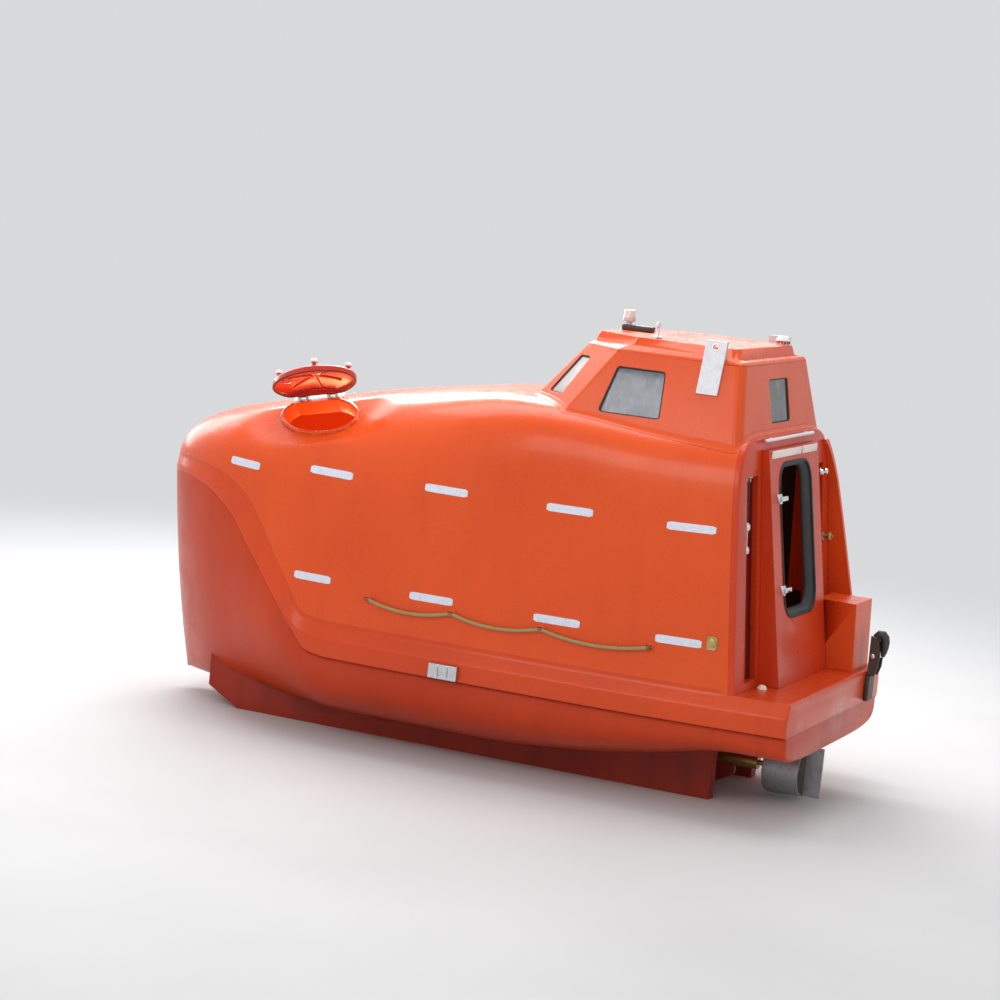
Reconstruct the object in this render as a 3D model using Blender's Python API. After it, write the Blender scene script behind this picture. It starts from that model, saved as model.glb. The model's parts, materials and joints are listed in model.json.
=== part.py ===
# Free-fall lifeboat, about 4.9 m long, built in one shared frame.
# X points to the bow, Y to port, Z up. Metres. The origin is at the bottom centre.
import bmesh
import bpy
import math
from mathutils import Matrix, Vector

# Main dimensions, in boat coordinates: x from the transom, z from the aft deck.
STERN_X = -2.374
DECK_Z = 0.79
LENGTH = 4.87
BEAM_HALF = 1.081
TRANSOM_HALF = 0.996
WALL = 0.035
GAP = 0.0003
STEM_RAKE = 0.16
KEEL_Z = -0.69
ROOF_Z = 2.011
ROOF_HALF = 0.638
ROOF_TOP = 2.078
CAB_BASE_Z = 1.30
DOOR_HALF = 0.33
DOOR_LOW = 0.405
DOOR_HIGH = 1.42
HOUSE_HALF = 0.50
HATCH_LONG = 0.265
HATCH_WIDE = 0.195
HATCH_SKEW = 0.11
HATCH_CENTRE_X = 3.565
HATCH_CENTRE_Y = 0.595
HATCH_CUT = 0.17
HATCH_OPEN = 55.0
PROP_Z = -0.595
PROP_X = 0.28
PROP_R = 0.118
NOZZLE_IN = 0.143
NOZZLE_OUT = 0.172
SKID_Y = 0.42

for item in list(bpy.data.objects):
    bpy.data.objects.remove(item, do_unlink=True)
for group in list(bpy.data.collections):
    bpy.data.collections.remove(group)

scene = bpy.context.scene
parts = bpy.data.collections.new("lifeboat")
scene.collection.children.link(parts)
guides = bpy.data.collections.new("cutters")
scene.collection.children.link(guides)
guides.hide_render = True


def material(name, rgb, rough=0.5, metal=0.0):
    """One plain material for one piece."""
    mat = bpy.data.materials.new(name)
    mat.use_nodes = True
    shader = mat.node_tree.nodes["Principled BSDF"]
    shader.inputs["Base Color"].default_value = (rgb[0], rgb[1], rgb[2], 1.0)
    shader.inputs["Roughness"].default_value = rough
    shader.inputs["Metallic"].default_value = metal
    mat.diffuse_color = (rgb[0], rgb[1], rgb[2], 1.0)
    return mat


ORANGE = (0.62, 0.09, 0.025)
DEEP = (0.38, 0.03, 0.015)
STEEL = (0.55, 0.57, 0.6)
BLACK = (0.02, 0.02, 0.022)
WHITE = (0.8, 0.8, 0.78)
GLASS = (0.12, 0.16, 0.18)
GREY = (0.3, 0.3, 0.32)
ROPE = (0.42, 0.36, 0.16)


def world(p):
    """Boat coordinates to the shared frame."""
    return Vector((p[0] + STERN_X, p[1], p[2] + DECK_Z))


def place(name, bm, rgb=None, rough=0.5, metal=0.0, origin=None, cutter=False):
    """Turn a bmesh in boat coordinates into a named object."""
    bmesh.ops.recalc_face_normals(bm, faces=bm.faces)
    at = Vector((0.0, 0.0, 0.0)) if origin is None else Vector(origin)
    shift = world(at)
    for v in bm.verts:
        v.co = v.co - at
    mesh = bpy.data.meshes.new(name)
    bm.to_mesh(mesh)
    bm.free()
    obj = bpy.data.objects.new(name, mesh)
    obj.location = shift
    if cutter:
        guides.objects.link(obj)
        obj.hide_render = True
        obj.display_type = "WIRE"
    else:
        parts.objects.link(obj)
        mesh.materials.append(material(name + "_material", rgb, rough, metal))
    return obj


def boolean(obj, other, how="DIFFERENCE"):
    """Apply one exact Boolean and drop the helper."""
    bpy.context.view_layer.update()
    mod = obj.modifiers.new("bool", "BOOLEAN")
    mod.operation = how
    mod.solver = "EXACT"
    mod.object = other
    deps = bpy.context.evaluated_depsgraph_get()
    fresh = bpy.data.meshes.new_from_object(obj.evaluated_get(deps))
    obj.modifiers.clear()
    old = obj.data
    obj.data = fresh
    fresh.name = obj.name
    while len(fresh.materials) > 1:
        fresh.materials.pop(index=len(fresh.materials) - 1)
    bpy.data.meshes.remove(old)
    bpy.data.objects.remove(other, do_unlink=True)
    bm = bmesh.new()
    bm.from_mesh(fresh)
    bmesh.ops.remove_doubles(bm, verts=bm.verts, dist=0.00002)
    bmesh.ops.dissolve_degenerate(bm, edges=bm.edges, dist=0.00002)
    for face in bm.faces:
        face.material_index = 0
    bm.to_mesh(fresh)
    bm.free()
    return obj


def mesh_box(x0, x1, y0, y1, z0, z1):
    """A box from its limits."""
    bm = bmesh.new()
    bmesh.ops.create_cube(bm, size=1.0)
    for v in bm.verts:
        v.co = Vector((x0 + (v.co.x + 0.5) * (x1 - x0),
                       y0 + (v.co.y + 0.5) * (y1 - y0),
                       z0 + (v.co.z + 0.5) * (z1 - z0)))
    return bm


def rounded(bm, width, segments=2, angle=30.0):
    """Bevel every sharp edge."""
    edges = []
    for edge in bm.edges:
        if len(edge.link_faces) == 2 and edge.calc_face_angle(0.0) > math.radians(angle):
            edges.append(edge)
    bmesh.ops.bevel(bm, geom=edges, offset=width, segments=segments, profile=0.5,
                    affect="EDGES", clamp_overlap=True)
    return bm


def mesh_prism(points, axis, low, high):
    """A flat outline pushed along an axis: 'x' takes (y, z), 'y' takes (x, z), 'z' takes (x, y)."""
    bm = bmesh.new()
    rings = []
    for level in (low, high):
        ring = []
        for a, b in points:
            if axis == "x":
                ring.append(bm.verts.new((level, a, b)))
            elif axis == "y":
                ring.append(bm.verts.new((a, level, b)))
            else:
                ring.append(bm.verts.new((a, b, level)))
        rings.append(ring)
    bm.faces.new(rings[0])
    bm.faces.new(list(reversed(rings[1])))
    count = len(points)
    for i in range(count):
        j = (i + 1) % count
        bm.faces.new((rings[0][i], rings[0][j], rings[1][j], rings[1][i]))
    return bm


def mesh_rod(start, end, radius, segments=24, radius_end=None):
    """A round bar between two points."""
    start = Vector(start)
    end = Vector(end)
    axis = end - start
    bm = bmesh.new()
    bmesh.ops.create_cone(bm, cap_ends=True, segments=segments, radius1=radius,
                          radius2=radius if radius_end is None else radius_end,
                          depth=axis.length)
    turn = Vector((0, 0, 1)).rotation_difference(axis.normalized()).to_matrix().to_4x4()
    bmesh.ops.transform(bm, matrix=Matrix.Translation((start + end) / 2) @ turn, verts=bm.verts)
    return bm


def mesh_spin(profile, centre, axis, segments=48):
    """A closed ring profile (radius, height) turned about an axis through a centre."""
    bm = bmesh.new()
    centre = Vector(centre)
    axis = Vector(axis).normalized()
    turn = Vector((0, 0, 1)).rotation_difference(axis).to_matrix()
    rings = []
    for i in range(segments):
        a = 2 * math.pi * i / segments
        ring = []
        for r, h in profile:
            ring.append(bm.verts.new(centre + turn @ Vector((r * math.cos(a), r * math.sin(a), h))))
        rings.append(ring)
    count = len(profile)
    for i in range(segments):
        a = rings[i]
        b = rings[(i + 1) % segments]
        for k in range(count):
            n = (k + 1) % count
            bm.faces.new((a[k], b[k], b[n], a[n]))
    return bm


def mesh_loft(rings, close=True, split=False):
    """Closed rings of equal count joined in order, both ends filled."""
    bm = bmesh.new()
    made = []
    for ring in rings:
        made.append([bm.verts.new(p) for p in ring])
    count = len(rings[0])
    for i in range(len(made) - 1):
        for k in range(count):
            n = (k + 1) % count
            if split:
                bm.faces.new((made[i][k], made[i][n], made[i + 1][n]))
                bm.faces.new((made[i][k], made[i + 1][n], made[i + 1][k]))
            else:
                bm.faces.new((made[i][k], made[i][n], made[i + 1][n], made[i + 1][k]))
    if close:
        bm.faces.new(made[0])
        bm.faces.new(list(reversed(made[-1])))
    return bm


def mesh_tube(points, radius, resolution=3, smooth=0):
    """A round cord through points, as a filled curve turned into a mesh."""
    curve = bpy.data.curves.new("cord", "CURVE")
    curve.dimensions = "3D"
    curve.bevel_depth = radius
    curve.bevel_resolution = resolution
    curve.use_fill_caps = True
    spline = curve.splines.new("POLY")
    spline.points.add(len(points) - 1)
    for i, p in enumerate(points):
        spline.points[i].co = (p[0], p[1], p[2], 1.0)
    obj = bpy.data.objects.new("cord", curve)
    guides.objects.link(obj)
    bpy.context.view_layer.update()
    deps = bpy.context.evaluated_depsgraph_get()
    mesh = bpy.data.meshes.new_from_object(obj.evaluated_get(deps))
    bm = bmesh.new()
    bm.from_mesh(mesh)
    bmesh.ops.remove_doubles(bm, verts=bm.verts, dist=0.00001)
    bpy.data.objects.remove(obj, do_unlink=True)
    bpy.data.meshes.remove(mesh)
    return bm


def transform(bm, matrix):
    """Move a bmesh by a matrix."""
    bmesh.ops.transform(bm, matrix=matrix, verts=bm.verts)
    return bm


def fuse(name, pieces, rgb, rough=0.5, metal=0.0, origin=None):
    """Union several bmeshes into one named solid."""
    first = place(name, pieces[0], rgb, rough, metal)
    for extra in pieces[1:]:
        boolean(first, place(name + "_add", extra, cutter=True), "UNION")
    if origin is not None:
        at = world(Vector(origin))
        shift = at - first.location
        for v in first.data.vertices:
            v.co = v.co - shift
        first.location = at
    return first


def smoothstep(t):
    """Smooth 0 to 1 ramp."""
    t = min(1.0, max(0.0, t))
    return t * t * (3 - 2 * t)


def between(x, table):
    """Straight-line value from a short list of (x, value) stations."""
    if x <= table[0][0]:
        return table[0][1]
    for (a, p), (b, q) in zip(table, table[1:]):
        if x <= b:
            return p + (q - p) * (x - a) / (b - a)
    return table[-1][1]


# Plan, ridge and keel lines of the body.
def plan(x):
    """Half breadth at the gunwale."""
    if x < 1.6:
        return TRANSOM_HALF + (BEAM_HALF - TRANSOM_HALF) * math.sin(max(x, 0.0) / 1.6 * math.pi / 2)
    if x < 2.4:
        return BEAM_HALF
    t = min(1.0, (x - 2.4) / (LENGTH - 2.4))
    return BEAM_HALF * max(0.0, 1 - t ** 2.6) ** (1 / 1.8)


RIDGE = [(0.0, 1.55), (1.0, 1.56), (1.7, 1.61), (2.2, 1.63), (2.54, 1.60), (2.86, 1.553), (3.13, 1.512),
         (3.39, 1.46), (3.69, 1.39), (4.0, 1.33), (4.2, 1.285), (4.39, 1.235), (4.56, 1.17), (4.67, 1.115),
         (4.76, 1.04), (4.82, 0.965), (4.855, 0.89), (4.87, 0.83)]
KNUCKLE_TOP = [(3.20, 0.0), (3.36, 0.03), (3.47, 0.177), (3.60, 0.354), (3.75, 0.562),
               (3.92, 0.734), (4.20, 0.845), (4.60, 0.875), (4.82, 0.83), (4.87, 0.805)]
KNUCKLE_LOW = [(3.15, -0.09), (3.285, -0.085), (3.415, -0.02), (3.544, 0.114), (3.68, 0.276),
               (3.84, 0.449), (4.0, 0.621), (4.28, 0.766), (4.60, 0.81), (4.82, 0.775), (4.87, 0.76)]
BAND_LOW = [(3.15, -0.21), (3.28, -0.19), (3.415, -0.06), (3.544, 0.084), (3.68, 0.246),
            (3.84, 0.419), (4.0, 0.591), (4.28, 0.736), (4.60, 0.78), (4.82, 0.745), (4.87, 0.73)]
KEEL = [(0.0, -0.40), (0.40, -0.41), (0.9, -0.53), (1.5, -0.64), (2.1, KEEL_Z), (4.2, KEEL_Z),
        (4.6, -0.68), (4.87, -0.66)]
FULLNESS = [(0.0, 8.5), (1.7, 8.5), (2.3, 5.6), (3.0, 3.4), (3.6, 2.75), (4.2, 2.3), (4.87, 2.1)]
BILGE = [(0.0, 5.0), (0.6, 3.4), (1.6, 2.6), (3.6, 2.4), (4.87, 2.2)]
TUMBLE = [(0.0, 0.06), (1.7, 0.06), (3.0, 0.0)]
SIDE_STEPS = 18
HULL_STEPS = 12


def surface_z(x, y):
    """Height of the canopy skin at a point."""
    top = between(x, KNUCKLE_TOP)
    near_stem = smoothstep((x - 3.1) / 0.5)
    step = 0.055 * (1 - near_stem) + 0.03 * near_stem
    side = plan(x) - step
    n = between(x, FULLNESS)
    low = 0.0
    high = 1.0
    for i in range(40):
        rise = (low + high) / 2
        reach = side * (1 - between(x, TUMBLE) * rise ** 1.5) * max(0.0, 1 - rise ** n) ** (1 / n)
        if reach > abs(y):
            low = rise
        else:
            high = rise
    return top + (between(x, RIDGE) - top) * low


HATCH_SINK = 0.022
hc = Vector((HATCH_CENTRE_X, HATCH_CENTRE_Y, surface_z(HATCH_CENTRE_X, HATCH_CENTRE_Y)))
d = 0.2
tx = Vector((2 * d, 0, surface_z(hc.x + d, hc.y) - surface_z(hc.x - d, hc.y))).normalized()
ty = Vector((0, 2 * d, surface_z(hc.x, hc.y + d) - surface_z(hc.x, hc.y - d))).normalized()
hn = tx.cross(ty).normalized()
hu = tx
hv = hn.cross(hu).normalized()
hc = hc - hn * HATCH_SINK


def landing(point, inset):
    """Flatten the port shoulder round the hatch into a level landing that fades into the skin."""
    off = point - hc
    reach = Vector((off.dot(hu), off.dot(hv))).length
    share = 1 - smoothstep((reach - 0.33) / 0.30)
    if share <= 0.0 or point.y <= 0.05 or abs(off.dot(hn)) > 0.5:
        return point
    flat = hc.z - (hn.x * off.x + hn.y * off.y) / hn.z - inset / hn.z
    if flat > point.z:
        share = share * smoothstep((off.dot(hv) + 0.24) / 0.24)
    return Vector((point.x, point.y, point.z + (flat - point.z) * share))


def section(s, inset):
    """One closed ring of the body at station s, drawn in by the inset."""
    edge = plan(s)
    near_stem = smoothstep((s - 3.1) / 0.5)
    step = 0.055 * (1 - near_stem) + 0.03 * near_stem
    step = min(step, edge * 0.25)
    under = 0.03 * (1 - near_stem)
    top = between(s, KNUCKLE_TOP)
    low = between(s, KNUCKLE_LOW)
    foot = between(s, BAND_LOW)
    ridge = max(between(s, RIDGE), top + 0.012) - inset
    keel = between(s, KEEL) + inset
    side = edge - step - inset
    half = []
    power = 2 / between(s, FULLNESS)
    tumble = between(s, TUMBLE)
    for i in range(SIDE_STEPS):
        a = math.pi / 2 * (1 - (i / SIDE_STEPS) ** 0.9)
        rise = math.sin(a) ** power
        half.append((side * (1 - tumble * rise ** 1.5) * math.cos(a) ** power if i else 0.0,
                     top + (ridge - top) * rise))
    half.append((side, top))
    if inset > 0.001:
        half.append((side, low))
        half.append((side, foot))
        hull_side = side
    else:
        half.append((edge - inset, low))
        half.append((edge - inset, foot))
        hull_side = edge - under - inset
    start = foot - 0.012
    half.append((hull_side, start))
    power = 2 / between(s, BILGE)
    for i in range(1, HULL_STEPS + 1):
        a = math.pi / 2 * i / HULL_STEPS
        half.append((hull_side * math.cos(a) ** power if i < HULL_STEPS else 0.0,
                     start - (start - keel) * math.sin(a) ** power))
    ring = list(half)
    for y, z in reversed(half[1:-1]):
        ring.append((-y, z))
    out = []
    for y, z in ring:
        shift = STEM_RAKE * max(0.0, (0.81 - z)) / 1.54 * smoothstep((s - 4.1) / 0.77)
        out.append(landing(Vector((s - shift, y, z)), inset))
    return out


STATIONS = [0.0, 0.2, 0.4, 0.6, 0.8, 1.0, 1.25, 1.5, 1.75, 2.0, 2.25, 2.5, 2.75, 3.0, 3.15, 3.21, 3.285,
            3.36, 3.415, 3.47, 3.544, 3.6, 3.68, 3.75, 3.84, 3.92, 4.0, 4.1, 4.2, 4.3, 4.4, 4.5,
            4.58, 4.65, 4.71, 4.76, 4.80, 4.83, 4.85, 4.862, 4.868]


def body(name, inset, first=0.0, last=5.0):
    """The whole body as one closed loft."""
    rings = []
    for s in STATIONS:
        if s < first:
            continue
        if s > last:
            continue
        rings.append(section(s, inset))
    if first > STATIONS[0]:
        rings.insert(0, section(first, inset))
    return place(name, mesh_loft(rings, split=True), cutter=True)


def aft_x(z):
    """The aft face of the canopy end wall leans forward a little."""
    return 0.36 + 0.10 * z


def house_x(z):
    """The aft face of the door housing leans more."""
    return 0.228 + 0.158 * z


def line_solid(name, lower, upper, back):
    """Everything between two height lines, as a tall slab across the boat."""
    points = []
    points.append((back, lower[0][1]))
    for x, z in lower:
        points.append((x, z))
    points.append((5.2, lower[-1][1]))
    points.append((5.2, upper[-1][1]))
    for x, z in reversed(upper):
        points.append((x, z))
    points.append((back, upper[0][1]))
    return place(name, mesh_prism(points, "y", -1.4, 1.4), cutter=True)


def raised(table, dz):
    """A height line moved by dz."""
    return [(x, z + dz) for x, z in table]


def shell_piece(name, keep, rgb, rough):
    """Body wall between two height lines."""
    piece = place(name, mesh_loft([section(s, 0.0) for s in STATIONS], split=True), rgb, rough)
    boolean(piece, body("inner", WALL, 0.035, 4.52))
    boolean(piece, keep, "INTERSECT")
    return piece


hull = shell_piece("hull_shell", line_solid("k", [(0.0, -1.2), (4.0, -1.2)], BAND_LOW, -0.5), ORANGE, 0.35)
band = shell_piece("gunwale_band", line_solid("k", raised(BAND_LOW, GAP), KNUCKLE_TOP, -0.5), ORANGE, 0.35)
canopy = shell_piece("canopy_shell",
                     line_solid("k", raised(KNUCKLE_TOP, GAP), [(0.0, 2.4), (4.0, 2.4)], -0.5), ORANGE, 0.3)

# The canopy stops at its end wall, which leans a little.
WALL_T = 0.04
boolean(canopy, place("c", mesh_prism([(-0.3, -0.2), (aft_x(-0.2) + WALL_T, -0.2),
                                       (aft_x(2.2) + WALL_T, 2.2), (-0.3, 2.2)],
                                      "y", -1.4, 1.4), cutter=True))


def raked_slab(name, back, front, low, high, half, cutter=True, centre=0.0):
    """A leaning slab between two x(z) lines."""
    pts = [(back(low), low), (front(low), low), (front(high), high), (back(high), high)]
    return place(name, mesh_prism(pts, "y", centre - half, centre + half), cutter=cutter)


# End wall: a leaning plate with the outline of the canopy.
wall = place("aft_wall", mesh_loft([section(s, 0.0) for s in STATIONS if s < 2.0], split=True), ORANGE, 0.35)
boolean(wall, raked_slab("k", aft_x, lambda z: aft_x(z) + WALL_T - GAP, GAP, 2.2, 1.4), "INTERSECT")

# Door housing: a hood standing aft of the wall, wider at the foot.
HOUSE_TOP = 1.475
HOUSE_T = 0.04
house_pts = [(house_x(GAP), GAP), (house_x(HOUSE_TOP), HOUSE_TOP), (aft_x(HOUSE_TOP) - GAP, HOUSE_TOP),
             (aft_x(GAP) - GAP, GAP)]
house = place("door_housing", rounded(mesh_prism(house_pts, "y", -HOUSE_HALF, HOUSE_HALF), 0.018, 3, 60.0),
              ORANGE, 0.35)
inner_pts = [(house_x(0.06) + HOUSE_T, 0.06), (house_x(1.43) + HOUSE_T, 1.43), (0.7, 1.43), (0.7, 0.06)]
boolean(house, place("c", mesh_prism(inner_pts, "y", -HOUSE_HALF + 0.04, HOUSE_HALF - 0.04), cutter=True))
boolean(wall, place("c", mesh_prism([(0.2, 0.06), (0.2, 1.40), (0.8, 1.40), (0.8, 0.06)],
                                    "y", -HOUSE_HALF + 0.04, HOUSE_HALF - 0.04), cutter=True))


def round_outline(half, low, high, radius, steps=6):
    """Rounded rectangle as (y, z) points."""
    pts = []
    for cy, cz, a0 in ((half - radius, high - radius, 0), (-half + radius, high - radius, 90),
                       (-half + radius, low + radius, 180), (half - radius, low + radius, 270)):
        for i in range(steps + 1):
            a = math.radians(a0 + 90 * i / steps)
            pts.append((cy + radius * math.cos(a), cz + radius * math.sin(a)))
    return pts


boolean(house, place("c", mesh_prism(round_outline(DOOR_HALF, DOOR_LOW, DOOR_HIGH - 0.03, 0.15), "x", 0.1, 0.62),
                     cutter=True))


def leaned(points, back, front):
    """A (y, z) outline turned into a leaning slab between two x(z) lines."""
    return mesh_loft([[(back(z), y, z) for y, z in points], [(front(z), y, z) for y, z in points]])


# Black seal round the opening, held in the housing wall.
seal_out = leaned(round_outline(DOOR_HALF - GAP, DOOR_LOW + GAP, DOOR_HIGH - 0.03 - GAP, 0.15),
                  lambda z: house_x(z) - 0.006, lambda z: house_x(z) + 0.03)
seal = place("door_seal", seal_out, BLACK, 0.7)
boolean(seal, place("c", leaned(round_outline(DOOR_HALF - 0.016, DOOR_LOW + 0.016, DOOR_HIGH - 0.046, 0.134),
                                lambda z: house_x(z) - 0.05, lambda z: house_x(z) + 0.1), cutter=True))

# Aft door leaf, hinged on its port side inside the opening, standing ajar.
HINGE_Y = 0.295
DOOR_ANGLE = 23.0
LEAF_LOW = DOOR_LOW + 0.03
LEAF_HIGH = DOOR_HIGH - 0.06
LEAN = math.atan(0.158)
hinge_low = Vector((house_x(0.0) + 0.068, HINGE_Y, 0.0))
hinge_dir = Vector((0.158, 0.0, 1.0)).normalized()
leaf_out = leaned(round_outline(0.262, LEAF_LOW, LEAF_HIGH, 0.13),
                  lambda z: house_x(z) + 0.062, lambda z: house_x(z) + 0.102)
leaf_rib = leaned(round_outline(0.20, LEAF_LOW + 0.06, LEAF_HIGH - 0.06, 0.09),
                  lambda z: house_x(z) + 0.048, lambda z: house_x(z) + 0.07)
leaf_in = leaned(round_outline(0.225, LEAF_LOW + 0.035, LEAF_HIGH - 0.035, 0.10),
                 lambda z: house_x(z) + 0.082, lambda z: house_x(z) + 0.2)
leaf = fuse("aft_door", [leaf_out, leaf_rib], ORANGE, 0.4)
boolean(leaf, place("c", leaf_in, cutter=True))
for level in (0.62, 1.16):
    point = hinge_low + hinge_dir * (level / hinge_dir.z)
    knuckle = mesh_rod(point - hinge_dir * 0.0285, point + hinge_dir * 0.0285, 0.012, 20)
    boolean(leaf, place("a", knuckle, cutter=True), "UNION")
    fore = Vector((0, 1, 0)).cross(hinge_dir).normalized()
    strap = [point + Vector((0, p, 0)) + fore * q for p, q in ((-0.06, -0.006), (0.004, -0.006), (0.004, 0.008),
                                                              (-0.06, 0.008))]
    strap_bm = mesh_loft([[q - hinge_dir * 0.027 for q in strap], [q + hinge_dir * 0.027 for q in strap]])
    boolean(leaf, place("a", strap_bm, cutter=True), "UNION")
    pin = mesh_rod(point - hinge_dir * 0.058, point + hinge_dir * 0.058, 0.0072, 24)
    boolean(leaf, place("a", pin, cutter=True), "UNION")
turn = Matrix.Translation(hinge_low) @ Matrix.Rotation(math.radians(DOOR_ANGLE), 4, hinge_dir) \
    @ Matrix.Translation(-hinge_low)
move = Matrix.Translation(world(Vector((0, 0, 0)))) @ turn @ Matrix.Translation(-world(Vector((0, 0, 0))))
pivot = world(hinge_low + hinge_dir * (0.9 / hinge_dir.z))
for v in leaf.data.vertices:
    v.co = move @ (v.co + leaf.location) - pivot
leaf.location = pivot

# Door dogs on the port side of the opening: a foot on the housing and a handle across the seal.
for label, level in (("upper", 1.17), ("lower", 0.60)):
    foot = leaned([(DOOR_HALF + 0.012, level - 0.03), (DOOR_HALF + 0.06, level - 0.03),
                   (DOOR_HALF + 0.06, level + 0.03), (DOOR_HALF + 0.012, level + 0.03)],
                  lambda z: house_x(z) - 0.022, lambda z: house_x(z) - GAP)
    grip = leaned([(DOOR_HALF - 0.07, level - 0.013), (DOOR_HALF + 0.055, level - 0.013),
                   (DOOR_HALF + 0.055, level + 0.013), (DOOR_HALF - 0.07, level + 0.013)],
                  lambda z: house_x(z) - 0.034, lambda z: house_x(z) - 0.016)
    fuse("door_dog_" + label, [foot, grip], STEEL, 0.3, 0.8)

# Hinge brackets inside the housing, each with a bore round the leaf's pin.
for label, level in (("upper", 1.16), ("lower", 0.62)):
    point = hinge_low + hinge_dir * (level / hinge_dir.z)
    side_dir = Vector((0, 1, 0))
    fore = side_dir.cross(hinge_dir).normalized()
    for part_no, off in (("a", 0.0435), ("b", -0.0435)):
        centre = point + hinge_dir * off
        block = [centre + side_dir * p + fore * q
                 for p, q in ((-0.017, -0.017), (-0.017, 0.017), (HOUSE_HALF - 0.04 - GAP - HINGE_Y, 0.017),
                              (HOUSE_HALF - 0.04 - GAP - HINGE_Y, -0.017))]
        bracket = place("door_hinge_" + label + "_" + part_no,
                        mesh_loft([[q - hinge_dir * 0.010 for q in block], [q + hinge_dir * 0.010 for q in block]]),
                        STEEL, 0.3, 0.8)
        boolean(bracket, place("c", mesh_rod(centre - hinge_dir * 0.03, centre + hinge_dir * 0.03, 0.0078, 24),
                               cutter=True))

# Recesses beside the housing for the lifting chains.
for side, label in ((1, "port"), (-1, "starboard")):
    low = 0.03 if side > 0 else 0.475
    y0 = 0.545
    y1 = 0.80
    deep = 0.12
    outer = place("niche_" + label, rounded(mesh_prism(
        [(aft_x(low) + WALL_T, low), (aft_x(low) + WALL_T + deep, low),
         (aft_x(1.34) + WALL_T + deep * 0.55, 1.34), (aft_x(1.34) + WALL_T, 1.34)],
        "y", side * y0 if side > 0 else -y1, side * y1 if side > 0 else -y0), 0.02, 2, 60.0), DEEP, 0.4)
    t = 0.022
    inner = mesh_prism(
        [(0.2, low + t), (aft_x(low) + WALL_T + deep - t, low + t),
         (aft_x(1.34) + WALL_T + deep * 0.55 - t, 1.34 - t), (0.2, 1.34 - t)],
        "y", y0 + t if side > 0 else -y1 + t, y1 - t if side > 0 else -y0 - t)
    boolean(outer, place("c", inner.copy(), cutter=True))
    boolean(outer, raked_slab("c", lambda z: -0.2, lambda z: aft_x(z) + WALL_T, -0.2, 2.2, 1.4))
    boolean(wall, place("c", inner, cutter=True))

# Aft deck plate inside the gunwale band.
deck = place("aft_deck", mesh_prism([(WALL + GAP, 0.915), (0.62, 0.915), (0.62, -0.915), (WALL + GAP, -0.915)],
                                    "z", -0.045, -GAP), ORANGE, 0.4)
boolean(deck, body("k", WALL + 0.001, 0.0362, 2.0), "INTERSECT")

# Cheek: the starboard side of the canopy runs on aft of the end wall.
cheek = place("cheek_starboard", mesh_loft([section(s, 0.0) for s in STATIONS if s < 2.0], split=True), ORANGE, 0.35)
boolean(cheek, body("inner", WALL, 0.035, 2.0))
boolean(cheek, place("k", mesh_prism([(0.225, 0.38), (0.415, 1.20), (aft_x(1.47) - 0.02, 1.47), (aft_x(1.47) - GAP, 1.47),
                                      (aft_x(0.38) - GAP, 0.38)],
                                     "y", -1.3, -0.55), cutter=True), "INTERSECT")

# Raised locker on the starboard side of the aft deck.
locker = place("deck_locker", rounded(mesh_prism([(0.055, GAP), (0.075, 0.45), (house_x(0.45) + 0.05, 0.45),
                                                  (aft_x(0.0) - 0.001, GAP)],
                                                 "y", -0.86, -HOUSE_HALF - 0.003), 0.022, 3, 50.0), ORANGE, 0.35)
boolean(locker, raked_slab("c", lambda z: aft_x(z) - GAP, lambda z: 1.2, -0.2, 2.2, 1.4))

# Cab shell on top of the canopy, with its windows cut.
CAB_T = 0.03


def cab_ring(z, inset=0.0):
    """Plan of the cab at height z: aft edge, end of the side, half breadth, front edge, front half breadth."""
    t = (z - 1.517) / (ROOF_Z - 1.517)
    aft = 0.549 + (0.638 - 0.549) * t + inset
    side_end = 1.778 + (1.46 - 1.778) * t - inset * 0.45
    half = 0.807 + (ROOF_HALF - 0.807) * t - inset
    front = 2.152 + (1.757 - 2.152) * t - inset
    front_half = 0.514 + (0.405 - 0.514) * t - inset * 0.45
    return aft, side_end, half, front, front_half


def rounded_plan(corners, steps=4):
    """Round the corners of a closed plan of (x, y, z, radius) corners, every corner with equal steps."""
    out = []
    n = len(corners)
    for i in range(n):
        p = Vector(corners[i][:2])
        a = Vector(corners[i - 1][:2])
        b = Vector(corners[(i + 1) % n][:2])
        z = corners[i][2]
        radius = corners[i][3]
        u = (a - p).normalized()
        v = (b - p).normalized()
        half = math.acos(max(-1, min(1, u.dot(v)))) / 2
        centre = p + (u + v).normalized() * (radius / math.sin(half))
        reach = radius / math.tan(half)
        p0 = p + u * reach - centre
        p1 = p + v * reach - centre
        a0 = math.atan2(p0.y, p0.x)
        a1 = math.atan2(p1.y, p1.x)
        while a1 - a0 > math.pi:
            a1 -= 2 * math.pi
        while a1 - a0 < -math.pi:
            a1 += 2 * math.pi
        for k in range(steps + 1):
            ang = a0 + (a1 - a0) * k / steps
            out.append((centre.x + radius * math.cos(ang), centre.y + radius * math.sin(ang), z))
    return out


def cab_corners(aft, side_end, half, front, front_half, heights, radii):
    """Eight corners of one cab ring, port side first, with a height and a radius for each kind."""
    corners = []
    for side in (1, -1):
        part = [(front, side * front_half, heights[2], radii[2]),
                (side_end, side * half, heights[1], radii[1]),
                (aft, side * half, heights[0], radii[0])]
        if side < 0:
            part.reverse()
        corners.extend(part)
    return corners


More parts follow.
